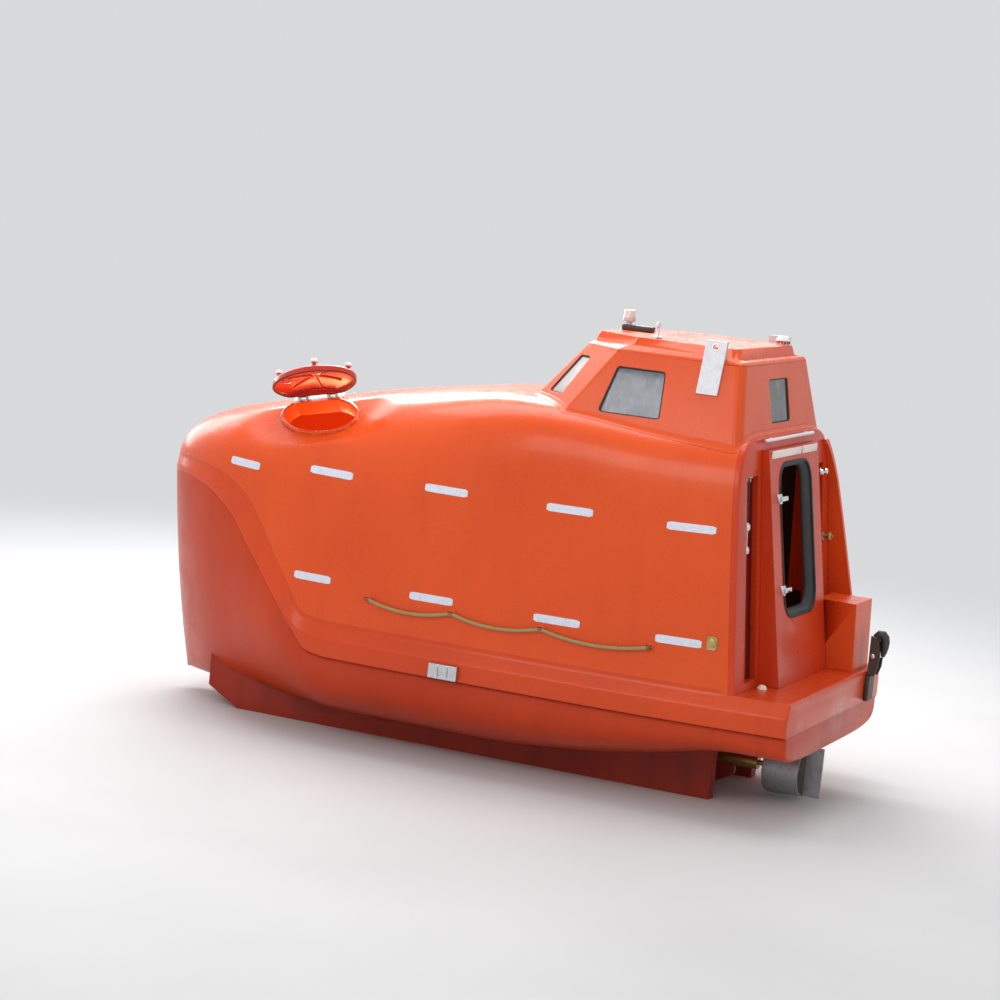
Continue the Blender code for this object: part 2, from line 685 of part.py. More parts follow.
def cab_loft(low, inset, roof=True):
    """The cab as a tapered block with quarter panels, a rounded shoulder and a raised roof panel."""
    rings = []
    r = max(0.01, 0.06 - inset)
    q = max(0.006, 0.03 - inset * 0.5)
    soft = 0.02
    for z in (low, ROOF_Z - soft - inset):
        rings.append(rounded_plan(cab_corners(*cab_ring(z, inset), (z, z, z), (r, q, q))))
    for draw, drop in ((0.3 * soft, 0.3 * soft), (soft, 0.0)):
        z = ROOF_Z - drop - inset
        rings.append(rounded_plan(cab_corners(*cab_ring(ROOF_Z - drop, inset + draw), (z, z, z), (r, q, q))))
    aft, side_end, half, front, front_half = cab_ring(ROOF_Z, inset)
    rings.append(rounded_plan(cab_corners(aft + 0.055, side_end - 0.055, half - 0.066, front - 0.03, front_half - 0.012,
                                          (ROOF_Z + 0.006 - inset, ROOF_Z + 0.024 - inset, ROOF_Z + 0.034 - inset),
                                          (r, q, q))))
    rings.append(rounded_plan(cab_corners(aft + 0.072, side_end - 0.068, half - 0.084, front - 0.045,
                                          front_half - 0.022,
                                          (ROOF_TOP - inset, ROOF_TOP - inset, ROOF_TOP - inset), (r, q, q))))
    return mesh_loft(rings, split=True)


cab = place("cab_shell", cab_loft(CAB_BASE_Z, 0.0), ORANGE, 0.3)
boolean(cab, place("c", cab_loft(CAB_BASE_Z - 0.1, CAB_T), cutter=True))
boolean(cab, body("c", -GAP))
aft0, side0, half0, front0, front_half0 = cab_ring(1.62, 0.045)
boolean(canopy, place("c", mesh_prism([(aft0 + 0.05, half0), (side0, half0), (front0, front_half0),
                                       (front0, -front_half0), (side0, -half0), (aft0 + 0.05, -half0)],
                                      "z", 1.30, 1.9), cutter=True))


def facet(origin, along, up, outline, back, front):
    """A flat outline on a leaning face, given thickness along its normal."""
    along = Vector(along).normalized()
    up = (Vector(up) - along * Vector(up).dot(along)).normalized()
    normal = along.cross(up).normalized()
    origin = Vector(origin)
    rings = []
    for depth in (back, front):
        rings.append([origin + along * a + up * b + normal * depth for a, b in outline])
    return mesh_loft(rings)


def grown(outline, amount):
    """Move a convex outline's points out from its centre lines."""
    ca = sum(p[0] for p in outline) / len(outline)
    cb = sum(p[1] for p in outline) / len(outline)
    return [(a + amount * (1 if a > ca else -1), b + amount * (1 if b > cb else -1)) for a, b in outline]


def rounded_quad(points, radius, steps=4):
    """Round the corners of a quadrilateral outline."""
    out = []
    n = len(points)
    for i in range(n):
        p = Vector(points[i]).to_2d()
        a = Vector(points[i - 1]).to_2d()
        b = Vector(points[(i + 1) % n]).to_2d()
        u = (a - p).normalized()
        v = (b - p).normalized()
        half = math.acos(max(-1, min(1, u.dot(v)))) / 2
        reach = radius / math.tan(half)
        centre = p + (u + v).normalized() * (radius / math.sin(half))
        p0 = p + u * reach
        p1 = p + v * reach
        a0 = math.atan2((p0 - centre).y, (p0 - centre).x)
        a1 = math.atan2((p1 - centre).y, (p1 - centre).x)
        while a1 - a0 > math.pi:
            a1 -= 2 * math.pi
        while a1 - a0 < -math.pi:
            a1 += 2 * math.pi
        for k in range(steps + 1):
            ang = a0 + (a1 - a0) * k / steps
            out.append((centre.x + radius * math.cos(ang), centre.y + radius * math.sin(ang)))
    return out


def cab_window(name, origin, along, up, outline, radius=0.025):
    """Cut one window and set its pane in the middle of the wall."""
    shape = rounded_quad(outline, radius)
    boolean(cab, place("c", facet(origin, along, up, shape, -0.09, 0.09), cutter=True))
    pane = rounded_quad(grown(outline, -GAP), radius)
    place(name, facet(origin, along, up, pane, -0.004, 0.004), GLASS, 0.08)


zm = 1.75
aftm, sidem, halfm, frontm, front_halfm = cab_ring(zm)
slope_side = (cab_ring(2.0)[2] - cab_ring(1.5)[2]) / 0.5
slope_front = (cab_ring(2.0)[3] - cab_ring(1.5)[3]) / 0.5
slope_aft = (cab_ring(2.0)[0] - cab_ring(1.5)[0]) / 0.5
side_quad = [(-0.185, -0.165), (0.235, -0.165), (0.165, 0.145), (-0.16, 0.145)]
for side, label in ((1, "port"), (-1, "starboard")):
    cab_window("cab_window_" + label, (1.29, side * (halfm - 0.015), zm), (1, 0, 0),
               (0, side * slope_side, 1), side_quad)
cab_window("cab_window_front", (frontm - 0.013, 0, zm), (0, 1, 0), (slope_front, 0, 1),
           [(-0.36, -0.07), (0.36, -0.07), (0.31, 0.24), (-0.31, 0.24)])
cab_window("cab_window_aft", (aftm + 0.015, 0, zm), (0, 1, 0), (slope_aft, 0, 1),
           [(-0.19, -0.14), (0.19, -0.14), (0.19, 0.14), (-0.19, 0.14)])

# Quarter windows in the angled panels beside the front window.
for side, label in ((1, "port"), (-1, "starboard")):
    low_a = Vector((sidem, side * halfm, zm))
    low_b = Vector((frontm, side * front_halfm, zm))
    high = cab_ring(1.95)
    top_b = Vector((high[3], side * high[4], 1.95))
    along = (low_b - low_a).normalized()
    rise = (top_b - low_b).normalized()
    face = along.cross(rise).normalized() * side
    mid = low_a + (low_b - low_a) * 0.62 + face * 0.015
    rise = (rise - along * rise.dot(along)).normalized()
    cab_window("cab_window_quarter_" + label, mid, along, rise,
               [(-0.05, -0.10), (0.115, -0.10), (0.035, 0.20), (-0.09, 0.20)], 0.02)

# The roof is its own moulding, joined to the cab sides just under the shoulder.
ROOF_SEAM = ROOF_Z - 0.03
roof = place("cab_roof", cab_loft(CAB_BASE_Z, 0.0), ORANGE, 0.3)
boolean(roof, place("c", cab_loft(CAB_BASE_Z - 0.1, CAB_T), cutter=True))
boolean(roof, place("c", mesh_box(0.2, 2.4, -1.0, 1.0, 1.0, ROOF_SEAM + GAP), cutter=True))
boolean(cab, place("c", mesh_box(0.2, 2.4, -1.0, 1.0, ROOF_SEAM, 2.5), cutter=True))

# Roof fittings: masthead light, round dome and a small post.
roof_floor = ROOF_TOP + GAP
light = fuse("mast_light", [rounded(mesh_box(1.50, 1.70, -0.045, 0.045, roof_floor, roof_floor + 0.035), 0.006, 1),
                            mesh_rod((1.67, 0.0, roof_floor + 0.03), (1.67, 0.0, roof_floor + 0.10), 0.020, 20),
                            mesh_rod((1.67, 0.0, roof_floor + 0.055), (1.67, 0.0, roof_floor + 0.13), 0.036, 24, 0.040)],
             WHITE, 0.3)
post = fuse("roof_post", [mesh_rod((1.30, 0.44, roof_floor), (1.30, 0.44, roof_floor + 0.012), 0.030, 24),
                          mesh_rod((1.30, 0.44, roof_floor), (1.30, 0.44, roof_floor + 0.085), 0.010, 16),
                          mesh_rod((1.30, 0.44, roof_floor + 0.080), (1.30, 0.44, roof_floor + 0.105), 0.020, 16, 0.006)],
            STEEL, 0.35, 0.7)
dome = fuse("roof_dome", [mesh_rod((0.765, -0.47, roof_floor), (0.765, -0.47, roof_floor + 0.03), 0.045, 24),
                          mesh_rod((0.765, -0.47, roof_floor + 0.025), (0.765, -0.47, roof_floor + 0.055), 0.048, 24, 0.03)],
            WHITE, 0.3)

# Lifting plates hung over the cab sides.
for side, label in ((1, "port"), (-1, "starboard")):
    low_out = cab_ring(1.79)[2] + GAP + 0.002
    prof = [(side * (ROOF_HALF - 0.03), ROOF_Z - 0.05), (side * (ROOF_HALF - 0.03), ROOF_Z + 0.11),
            (side * (ROOF_HALF - 0.008), ROOF_Z + 0.11), (side * (ROOF_HALF + 0.012), ROOF_Z + 0.03),
            (side * (low_out + 0.012), 1.79), (side * low_out, 1.79), (side * (ROOF_HALF + 0.002), ROOF_Z - 0.02)]
    plate = place("lifting_plate_" + label, mesh_prism([(p[0], p[1]) for p in prof], "x", 0.765, 0.905), STEEL,
                  0.4, 0.3)
    boolean(plate, place("c", cab_loft(CAB_BASE_Z, -GAP), cutter=True))
    boolean(plate, place("c", mesh_rod((0.835, side * 0.5, ROOF_Z + 0.07), (0.835, side * 0.8, ROOF_Z + 0.07),
                                       0.018, 20), cutter=True))

# Bow hatch on the port shoulder: coaming, opening and lid.


def oval(grow, share, a):
    """A point of the hatch's slanted oval, grown and then scaled about its middle."""
    u = (HATCH_LONG + grow) * math.cos(a) - HATCH_SKEW * math.sin(a)
    v = (HATCH_WIDE + grow) * math.sin(a)
    return u * share, v * share - 0.012


def cut_oval(grow, cut, low, high, steps=44):
    """The hatch's oval with a straight inboard side, between two heights of its plane."""
    reach = math.asin((cut - 0.012) / (HATCH_WIDE + grow))
    rings = []
    for level in (low, high):
        ring = []
        for i in range(steps + 1):
            u, v = oval(grow, 1.0, -reach + (math.pi + 2 * reach) * i / steps)
            ring.append(hc + hu * u + hv * v + hn * level)
        rings.append(ring)
    return mesh_loft(rings)


boolean(canopy, place("c", cut_oval(0.03 + GAP, HATCH_CUT + 0.027 + GAP, -0.25, 0.25), cutter=True))
coaming = place("hatch_coaming", cut_oval(0.03, HATCH_CUT + 0.027, -0.085, 0.012), ORANGE, 0.35)
boolean(coaming, place("c", cut_oval(0.0, HATCH_CUT, -0.2, 0.2), cutter=True))

# Lid: a shallow dome with a rim, hinged on its inboard side along the boat.
LID_GROW = 0.05
lid_at = 0.018
lid_rings = []
LID_STEPS = 48


def lid_ring(grow, share, level):
    """One ring of the lid."""
    ring = []
    for i in range(LID_STEPS):
        u, v = oval(grow, share, 2 * math.pi * i / LID_STEPS)
        ring.append(hc + hu * u + hv * v + hn * level)
    return ring


for share in (0.15, 0.42, 0.66, 0.86, 0.98):
    lid_rings.append(lid_ring(LID_GROW, share, lid_at + 0.035 + 0.05 * (1 - share ** 2)))
lid_rings.append(lid_ring(LID_GROW, 1.0, lid_at + 0.028))
lid_rings.append(lid_ring(LID_GROW, 1.0, lid_at))
lid_rings.append(lid_ring(LID_GROW - 0.022, 1.0, lid_at))
for share in (1.0, 0.84, 0.62, 0.36, 0.12):
    lid_rings.append(lid_ring(LID_GROW - 0.022, share, lid_at + 0.015 + 0.05 * (1 - share ** 2)))
lid_bm = mesh_loft(lid_rings)
HINGE_MID = 0.085
hinge_at = hc - hv * (HATCH_CUT + 0.055) + hn * (lid_at + 0.012)
lid_side = HATCH_CUT + 0.035
straight = [hc - hv * p + hn * q for p, q in ((lid_side, lid_at), (lid_side - 0.022, lid_at),
                                             (lid_side - 0.022, lid_at + 0.045), (lid_side, lid_at + 0.045))]
pieces = []
for s in (HINGE_MID - 0.11, HINGE_MID + 0.11):
    a0 = hinge_at + hu * (s - 0.018)
    block = mesh_loft([[a0 + hv * p + hn * q for p, q in ((-0.002, -0.01), (0.034, -0.01), (0.034, 0.011),
                                                         (-0.002, 0.011))],
                       [a0 + hu * 0.036 + hv * p + hn * q for p, q in ((-0.002, -0.01), (0.034, -0.01),
                                                                      (0.034, 0.011), (-0.002, 0.011))]])
    pieces.append(block)
    pieces.append(mesh_rod(a0, a0 + hu * 0.036, 0.012, 12))
    pieces.append(mesh_rod(a0 - hu * 0.022, a0 + hu * 0.058, 0.0062, 16))
for s, t in ((-0.10, 0.19), (0.235, 0.055), (-0.285, 0.06)):
    base = hc + hu * s + hv * t + hn * (lid_at + 0.036)
    pieces.append(mesh_rod(base, base + hn * 0.045, 0.012, 10))
    pieces.append(mesh_rod(base + hn * 0.038, base + hn * 0.06, 0.022, 12))
lid = place("hatch_lid", lid_bm, ORANGE, 0.35)
box_low = hc - hv * lid_side - hu * 0.5
boolean(lid, place("c", mesh_loft([[box_low + hn * q - hv * p for p, q in ((0.0, -0.2), (0.3, -0.2), (0.3, 0.3),
                                                                         (0.0, 0.3))],
                                  [box_low + hu + hn * q - hv * p for p, q in ((0.0, -0.2), (0.3, -0.2), (0.3, 0.3),
                                                                              (0.0, 0.3))]]), cutter=True))
turned = math.asin((lid_side - 0.012) / (HATCH_WIDE + LID_GROW))
bar_end_a = hu * (oval(LID_GROW, 1.0, -turned)[0] - 0.006)
bar_end_b = hu * (oval(LID_GROW, 1.0, math.pi + turned)[0] + 0.006)
boolean(lid, place("a", mesh_loft([[q + bar_end_b for q in straight], [q + bar_end_a for q in straight]]),
                   cutter=True), "UNION")
for extra in pieces:
    boolean(lid, place("a", extra, cutter=True), "UNION")
swing = Matrix.Translation(hinge_at) @ Matrix.Rotation(math.radians(HATCH_OPEN), 4, hu) @ Matrix.Translation(-hinge_at)
move = Matrix.Translation(world(Vector((0, 0, 0)))) @ swing @ Matrix.Translation(-world(Vector((0, 0, 0))))
pivot = world(hinge_at)
for v in lid.data.vertices:
    v.co = move @ (v.co + lid.location) - pivot
lid.location = pivot

# Hinge base carrying the lid's pin.
base_pieces = []
low_pt = hinge_at - hn * 0.014
for s in (-0.1393, -0.0807, 0.0807, 0.1393):
    a0 = hinge_at + hu * (HINGE_MID + s - 0.010)
    base_pieces.append(mesh_loft([[a0 + hv * p + hn * q for p, q in ((-0.012, -0.05), (0.012, -0.05), (0.012, 0.012),
                                                                    (-0.012, 0.012))],
                                  [a0 + hu * 0.020 + hv * p + hn * q for p, q in ((-0.012, -0.05), (0.012, -0.05),
                                                                                 (0.012, 0.012), (-0.012, 0.012))]]))
strip0 = hinge_at + hu * (HINGE_MID - 0.19)
strip = mesh_loft([[strip0 + hv * p + hn * q for p, q in ((-0.030, -0.12), (0.014, -0.12), (0.014, -0.024),
                                                         (-0.030, -0.024))],
                   [strip0 + hu * 0.38 + hv * p + hn * q for p, q in ((-0.030, -0.12), (0.014, -0.12),
                                                                    (0.014, -0.024), (-0.030, -0.024))]])
hinge_base = fuse("hatch_hinge_base", [strip] + base_pieces, WHITE, 0.4)
boolean(hinge_base, body("c", -GAP))
boolean(hinge_base, place("c", mesh_rod(hinge_at - hu * 0.3, hinge_at + hu * 0.4, 0.0067, 16), cutter=True))

# Drip rail above the door.
rail_z = 1.535
rail = fuse("drip_rail", [mesh_rod((aft_x(rail_z) - 0.03, -0.44, rail_z), (aft_x(rail_z) - 0.03, 0.52, rail_z),
                                   0.011, 16),
                          mesh_rod((aft_x(rail_z) - 0.03, -0.36, rail_z), (aft_x(rail_z) - 0.001, -0.36, rail_z), 0.009, 16),
                          mesh_rod((aft_x(rail_z) - 0.03, 0.36, rail_z), (aft_x(rail_z) - 0.001, 0.36, rail_z), 0.009, 16)],
            WHITE, 0.4)

# Lifting chains in the recesses, with their bottle screws.
for side, label in ((1, "port"), (-1, "starboard")):
    y = side * 0.672
    low = (0.03 if side > 0 else 0.475) + 0.022 + GAP
    top = 1.34 - 0.022 - GAP
    x_low = aft_x(low) + 0.072
    x_top = aft_x(top) + 0.023
    foot = Vector((x_low, y, low + 0.02))
    head = Vector((x_top, y, top - 0.02))
    screw_low = foot.lerp(head, (0.84 - foot.z) / (head.z - foot.z))
    screw_top = foot.lerp(head, (1.02 - foot.z) / (head.z - foot.z))
    fuse("lifting_chain_" + label,
         [mesh_rod(foot, head, 0.009, 16),
          mesh_rod((x_low, y, low), (x_low, y, low + 0.03), 0.022, 20),
          mesh_rod((x_top, y, top - 0.03), (x_top, y, top), 0.022, 20),
          mesh_rod(screw_low, screw_top, 0.019, 20)], STEEL, 0.4, 0.8)

# Stern hook on its bracket, starboard side of the transom.
place("stern_bracket", rounded(mesh_box(-0.032, -0.0005, -0.76, -0.64, -0.20, -0.03), 0.004, 1), GREY, 0.5, 0.5)
hook = fuse("stern_hook", [mesh_box(-0.030, -0.006, -0.72, -0.68, -0.0297, 0.26),
                           mesh_box(-0.12, -0.006, -0.72, -0.68, 0.20, 0.28),
                           mesh_box(-0.12, -0.075, -0.72, -0.68, 0.09, 0.24)], BLACK, 0.5, 0.4)

# Steel brackets on the gunwale band and round plates near the stern.
for side, label in ((1, "port"), (-1, "starboard")):
    y = side * (BEAM_HALF + GAP)
    place("gunwale_bracket_" + label, rounded(mesh_box(2.16, 2.36, min(y, y + side * 0.035), max(y, y + side * 0.035),
                                                       -0.20, -0.105), 0.004, 1), STEEL, 0.35, 0.8)

# Grab lines in three bights along each side, held on small bosses of the canopy.
knots = [2.87, 2.27, 1.65, 0.92]


def side_y(x, z):
    """Outer half breadth of the canopy side at a height."""
    top = between(x, KNUCKLE_TOP)
    near_stem = smoothstep((x - 3.1) / 0.5)
    step = 0.055 * (1 - near_stem) + 0.03 * near_stem
    n = between(x, FULLNESS)
    t = min(1.0, max(0.0, (z - top) / (between(x, RIDGE) - top)))
    return (plan(x) - step) * (1 - between(x, TUMBLE) * t ** 1.5) * max(0.0, 1 - t ** n) ** (1 / n)


for side, label in ((1, "port"), (-1, "starboard")):
    pts = []
    for a, b in zip(knots, knots[1:]):
        steps = 8
        for i in range(steps):
            t = i / steps
            x = a + (b - a) * t
            z = 0.218 - 0.045 * 4 * t * (1 - t)
            lift = 0.026
            pts.append((x, side * (side_y(x, z) + lift), z))
    pts.append((knots[-1], side * (side_y(knots[-1], 0.218) + 0.026), 0.218))
    place("grab_line_" + label, mesh_tube(pts, 0.011, 2), ROPE, 0.9)
    for x in knots:
        y = side_y(x, 0.218)
        boss = mesh_rod((x, side * (y - 0.02), 0.218), (x, side * (y + 0.0145), 0.218), 0.016, 10)
        boolean(canopy, place("a", boss, cutter=True), "UNION")

# Launch skids the boat stands on.
for side, label in ((1, "port"), (-1, "starboard")):
    y = side * SKID_Y
    skid = place("skid_" + label, mesh_prism([(0.62, -0.79), (4.05, -0.79), (4.28, -0.66), (4.28, -0.40),
                                              (0.62, -0.30)], "y", y - 0.045, y + 0.045), DEEP, 0.5)
    boolean(skid, body("c", -GAP))

# Skeg, stern tube, propeller on its shaft and the steering nozzle round it.
skeg = place("skeg", mesh_prism([(0.62, -0.70), (0.72, -0.755), (2.4, -0.755), (2.7, -0.66), (0.62, -0.30)], "y", -0.03, 0.03),
             DEEP, 0.5)
boolean(skeg, body("c", -GAP))
boolean(skeg, place("c", mesh_rod((0.5, 0, PROP_Z), (0.8603, 0, PROP_Z), 0.0455, 32), cutter=True))
tube = place("stern_tube", mesh_spin([(0.0181, 0.0), (0.045, 0.0), (0.045, 0.40), (0.0181, 0.40)],
                                     (0.46, 0, PROP_Z), (1, 0, 0), 48), STEEL, 0.4, 0.7)
blades = [mesh_rod((PROP_X - 0.055, 0, PROP_Z), (PROP_X + 0.045, 0, PROP_Z), 0.034, 32, 0.030),
          mesh_rod((PROP_X, 0, PROP_Z), (0.84, 0, PROP_Z), 0.0175, 48),
          mesh_rod((PROP_X - 0.09, 0, PROP_Z), (PROP_X - 0.05, 0, PROP_Z), 0.010, 24, 0.034)]
for k in range(4):
    ang = math.pi / 2 * k
    rings = []
    for i in range(7):
        r = 0.022 + (PROP_R - 0.022) * i / 6
        pitch = math.atan2(0.17, 2 * math.pi * r)
        chord = 0.055 + 0.045 * math.sin(math.pi * min(1.0, i / 6 * 0.85 + 0.1))
        thick = 0.010 * (1 - 0.7 * i / 6)
        ring = []
        for cx, cy in ((-0.5, 0), (-0.25, 0.5), (0.2, 0.5), (0.5, 0), (0.2, -0.5), (-0.25, -0.5)):
            u = cx * chord
            w = cy * thick
            tang = u * math.cos(pitch) - w * math.sin(pitch)
            ax = u * math.sin(pitch) + w * math.cos(pitch)
            ring.append(Matrix.Rotation(ang, 3, "X") @ Vector((ax, tang, r)) + Vector((PROP_X, 0, PROP_Z)))
        rings.append(ring)
    blades.append(mesh_loft(rings))
prop = fuse("propeller", blades, (0.5, 0.36, 0.12), 0.35, 0.9, origin=(PROP_X, 0, PROP_Z))

nozzle_ring = mesh_spin([(NOZZLE_IN + 0.012, -0.135), (NOZZLE_OUT - 0.008, -0.135), (NOZZLE_OUT, 0.02),
                         (NOZZLE_OUT - 0.002, 0.085), (NOZZLE_IN + 0.02, 0.105), (NOZZLE_IN + 0.004, 0.08),
                         (NOZZLE_IN, 0.0)],
                        (PROP_X, 0, PROP_Z), (1, 0, 0), 48)
nozzle = fuse("steering_nozzle",
              [nozzle_ring, mesh_rod((PROP_X, 0, PROP_Z + NOZZLE_OUT - 0.012), (PROP_X, 0, -0.20), 0.026, 48)],
              STEEL, 0.45, 0.5, origin=(PROP_X, 0, PROP_Z))
place("nozzle_fin", rounded(mesh_box(PROP_X - 0.25, PROP_X - 0.135 - GAP, -0.008, 0.008, PROP_Z - 0.163, PROP_Z + 0.163),
                            0.003, 1), STEEL, 0.45, 0.5, origin=(PROP_X, 0, PROP_Z))
boolean(hull, place("c", mesh_rod((PROP_X, 0, -0.6), (PROP_X, 0, -0.25), 0.0267, 48), cutter=True))

# Inside: sole, seats, helm and engine.


def inside(obj, extra=0.0):
    """Trim a fitting to the cabin's inner skin."""
    return boolean(obj, body("k", WALL + GAP + extra, 0.035, 4.52), "INTERSECT")


sole = inside(place("cabin_sole", mesh_box(1.75, 4.0, -1.2, 1.2, -0.40, -0.37), GREY, 0.7))
bed = inside(place("engine_bed", mesh_prism([(-0.17, -0.70), (0.17, -0.70), (0.17, -0.4203), (0.10, -0.4203),
                                             (0.10, -0.47), (-0.10, -0.47), (-0.10, -0.4203), (-0.17, -0.4203)],
                                            "x", 0.72, 1.68), DEEP, 0.6))
place("engine", rounded(mesh_box(0.80, 1.55, -0.30, 0.30, -0.42, 0.12), 0.02, 2), GREY, 0.5)
for side, label in ((1, "port"), (-1, "starboard")):
    inside(place("seats_" + label, mesh_prism(
        [(1.80, -0.3697), (1.80, 0.0), (2.25, -0.04), (2.45, 0.42), (2.53, 0.42), (2.62, 0.02), (3.05, -0.02),
         (3.25, 0.42), (3.33, 0.42), (3.45, -0.3697)],
        "y", min(side * 0.25, side * 1.2), max(side * 0.25, side * 1.2)), BLACK, 0.7))
helm = fuse("helm_seat", [rounded(mesh_box(1.15, 1.55, -0.22, 0.22, 0.50, 0.58), 0.02, 2),
                          rounded(mesh_box(1.08, 1.16, -0.20, 0.20, 0.52, 1.05), 0.02, 2),
                          mesh_rod((1.35, 0, 0.1203), (1.35, 0, 0.52), 0.04, 24)], BLACK, 0.6)
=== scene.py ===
import json
import math

import bmesh
import bpy
from mathutils import Matrix, Vector
from mathutils.bvhtree import BVHTree

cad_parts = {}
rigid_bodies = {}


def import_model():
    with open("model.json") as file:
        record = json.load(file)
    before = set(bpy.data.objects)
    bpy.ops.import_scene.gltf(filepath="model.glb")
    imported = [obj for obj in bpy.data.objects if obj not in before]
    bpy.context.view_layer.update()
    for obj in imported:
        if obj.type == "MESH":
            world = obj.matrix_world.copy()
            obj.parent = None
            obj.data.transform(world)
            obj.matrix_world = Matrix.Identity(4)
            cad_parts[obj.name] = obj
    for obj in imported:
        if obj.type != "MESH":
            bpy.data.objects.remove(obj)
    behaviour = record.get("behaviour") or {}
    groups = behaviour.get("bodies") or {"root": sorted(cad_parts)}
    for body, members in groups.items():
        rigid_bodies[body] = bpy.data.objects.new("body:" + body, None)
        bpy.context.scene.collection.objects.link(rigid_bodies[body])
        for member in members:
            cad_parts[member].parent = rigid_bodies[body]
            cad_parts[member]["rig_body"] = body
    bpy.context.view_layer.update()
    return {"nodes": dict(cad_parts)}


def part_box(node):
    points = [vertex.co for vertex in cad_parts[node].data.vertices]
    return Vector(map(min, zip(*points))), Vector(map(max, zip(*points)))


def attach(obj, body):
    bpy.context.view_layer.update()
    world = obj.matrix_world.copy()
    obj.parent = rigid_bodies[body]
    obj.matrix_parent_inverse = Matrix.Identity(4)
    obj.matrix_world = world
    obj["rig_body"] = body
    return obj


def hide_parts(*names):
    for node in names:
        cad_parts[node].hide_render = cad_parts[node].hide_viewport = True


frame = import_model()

NODES = frame["nodes"]
# The boat's own coordinates run from the transom at x = 0 and the deck at z = 0.
OX = -2.374
OZ = 0.79
SIDES = ((1, "port"), (-1, "starboard"))
X, Y, Z = Vector((1, 0, 0)), Vector((0, 1, 0)), Vector((0, 0, 1))


def at(x, y, z):
    """A point of the boat's own coordinates in the row frame."""
    return Vector((x + OX, y, z + OZ))


# Material helpers.
class Nodes:
    """One material's node tree, with a method for each kind of node."""

    def __init__(self, name):
        self.mat = bpy.data.materials.new(name)
        self.mat.use_nodes = True
        self.tree = self.mat.node_tree
        self.bsdf = self.tree.nodes["Principled BSDF"]
        self.place = self.tree.nodes.new("ShaderNodeTexCoord").outputs["Object"]

    def feed(self, socket, value):
        """Link an output to a socket, or set the socket's own value."""
        if isinstance(value, bpy.types.NodeSocket):
            self.tree.links.new(value, socket)
        elif socket.type == "RGBA":
            socket.default_value = value + (1.0,)
        else:
            socket.default_value = value

    def add(self, kind, inputs, output, **settings):
        """A node with its settings and inputs; one of its outputs is returned."""
        node = self.tree.nodes.new("ShaderNode" + kind)
        for key, value in settings.items():
            setattr(node, key, value)
        for key, value in inputs.items():
            self.feed(node.inputs[key], value)
        return node.outputs[output]

    def mapped(self, stretch):
        return self.add("Mapping", {"Vector": self.place, "Scale": stretch}, "Vector")

    def noise(self, scale, detail=3.0, rough=0.5, stretch=(1, 1, 1), distortion=0.0):
        return self.add("TexNoise", {"Vector": self.mapped(stretch), "Scale": scale, "Detail": detail,
                                     "Roughness": rough, "Distortion": distortion}, "Fac")

    def cells(self, scale, feature):
        return self.add("TexVoronoi", {"Vector": self.mapped((1, 1, 1)), "Scale": scale}, "Distance",
                        feature=feature)

    def ramp(self, value, low_at, high_at, low_value=0.0, high_value=1.0):
        return self.add("MapRange", {"Value": value, "From Min": low_at, "From Max": high_at,
                                     "To Min": low_value, "To Max": high_value}, "Result")

    def mix(self, share, a, b):
        return self.add("Mix", {"Factor": share, "A": a, "B": b}, "Result", data_type="RGBA")

    def maths(self, operation, a, b):
        return self.add("Math", {0: a, 1: b}, "Value", operation=operation)

    def rounded_edges(self, radius):
        return self.add("Bevel", {"Radius": radius}, "Normal", samples=6)

    def bump(self, height, strength, distance, before=None):
        inputs = {"Height": height, "Strength": strength, "Distance": distance}
        if before is not None:
            inputs["Normal"] = before
        return self.add("Bump", inputs, "Normal")

    def surface(self, colour, rough, normal, **more):
        """Feed the surface's inputs, an underscore standing for a space, and return the material."""
        for name, value in dict(more, Base_Color=colour, Roughness=rough, Normal=normal).items():
            self.feed(self.bsdf.inputs[name.replace("_", " ")], value)
        return self.mat


def gelcoat(name, main, second, grime, rough=0.27, coat=0.14, edge=0.005, grime_share=0.13):
    """Glossy moulded laminate: slow colour drift, run-down streaks, specks, haze and a faint skin."""
    n = Nodes(name)
    base = n.mix(n.ramp(n.noise(1.1), 0.35, 0.68), main, second)
    streak = n.ramp(n.noise(5.0, 3, 0.5, (1.6, 1.6, 0.16), 0.3), 0.50, 0.80, 0.0, grime_share)
    speck = n.ramp(n.noise(160.0, 2), 0.30, 0.72, 0.965, 1.03)
    tint = n.add("HueSaturation", {"Color": n.mix(streak, base, grime), "Value": speck}, "Color")
    haze = n.ramp(n.noise(3.2, 5, 0.6), 0.30, 0.75, rough - 0.06, rough + 0.12)
    fine = n.ramp(n.noise(42.0, 4, 0.6), 0.35, 0.75, -0.03, 0.05)
    wave = n.bump(n.noise(6.5, 2, 0.4), 0.10, 0.012, n.rounded_edges(edge))
    return n.surface(tint, n.maths("ADD", haze, fine), n.bump(n.noise(260.0, 2), 0.05, 0.0006, wave),
                     Coat_Weight=coat, Coat_Roughness=0.09, Specular_IOR_Level=0.22)


def metal(name, colour, rough=0.32, stain=(0.30, 0.26, 0.20), brush=(1, 1, 1), metallic=1.0, edge=0.0015,
          share=0.35):
    """Brushed or polished metal with dull spots and brown tea staining."""
    n = Nodes(name)
    grain = n.noise(160.0, 4, 0.6, brush)
    patch = n.ramp(n.noise(26.0, 5, 0.65), 0.50, 0.76, 0.0, share)
    base = n.mix(n.ramp(grain, 0.35, 0.7), tuple(c * 0.82 for c in colour), colour)
    shine = n.ramp(grain, 0.3, 0.7, rough - 0.07, rough + 0.09)
    skin = n.bump(grain, 0.16, 0.0006, n.rounded_edges(edge))
    return n.surface(n.mix(patch, base, stain), n.maths("ADD", shine, n.maths("MULTIPLY", patch, 0.55)),
                     n.bump(n.noise(55.0), 0.08, 0.001, skin), Metallic=metallic)


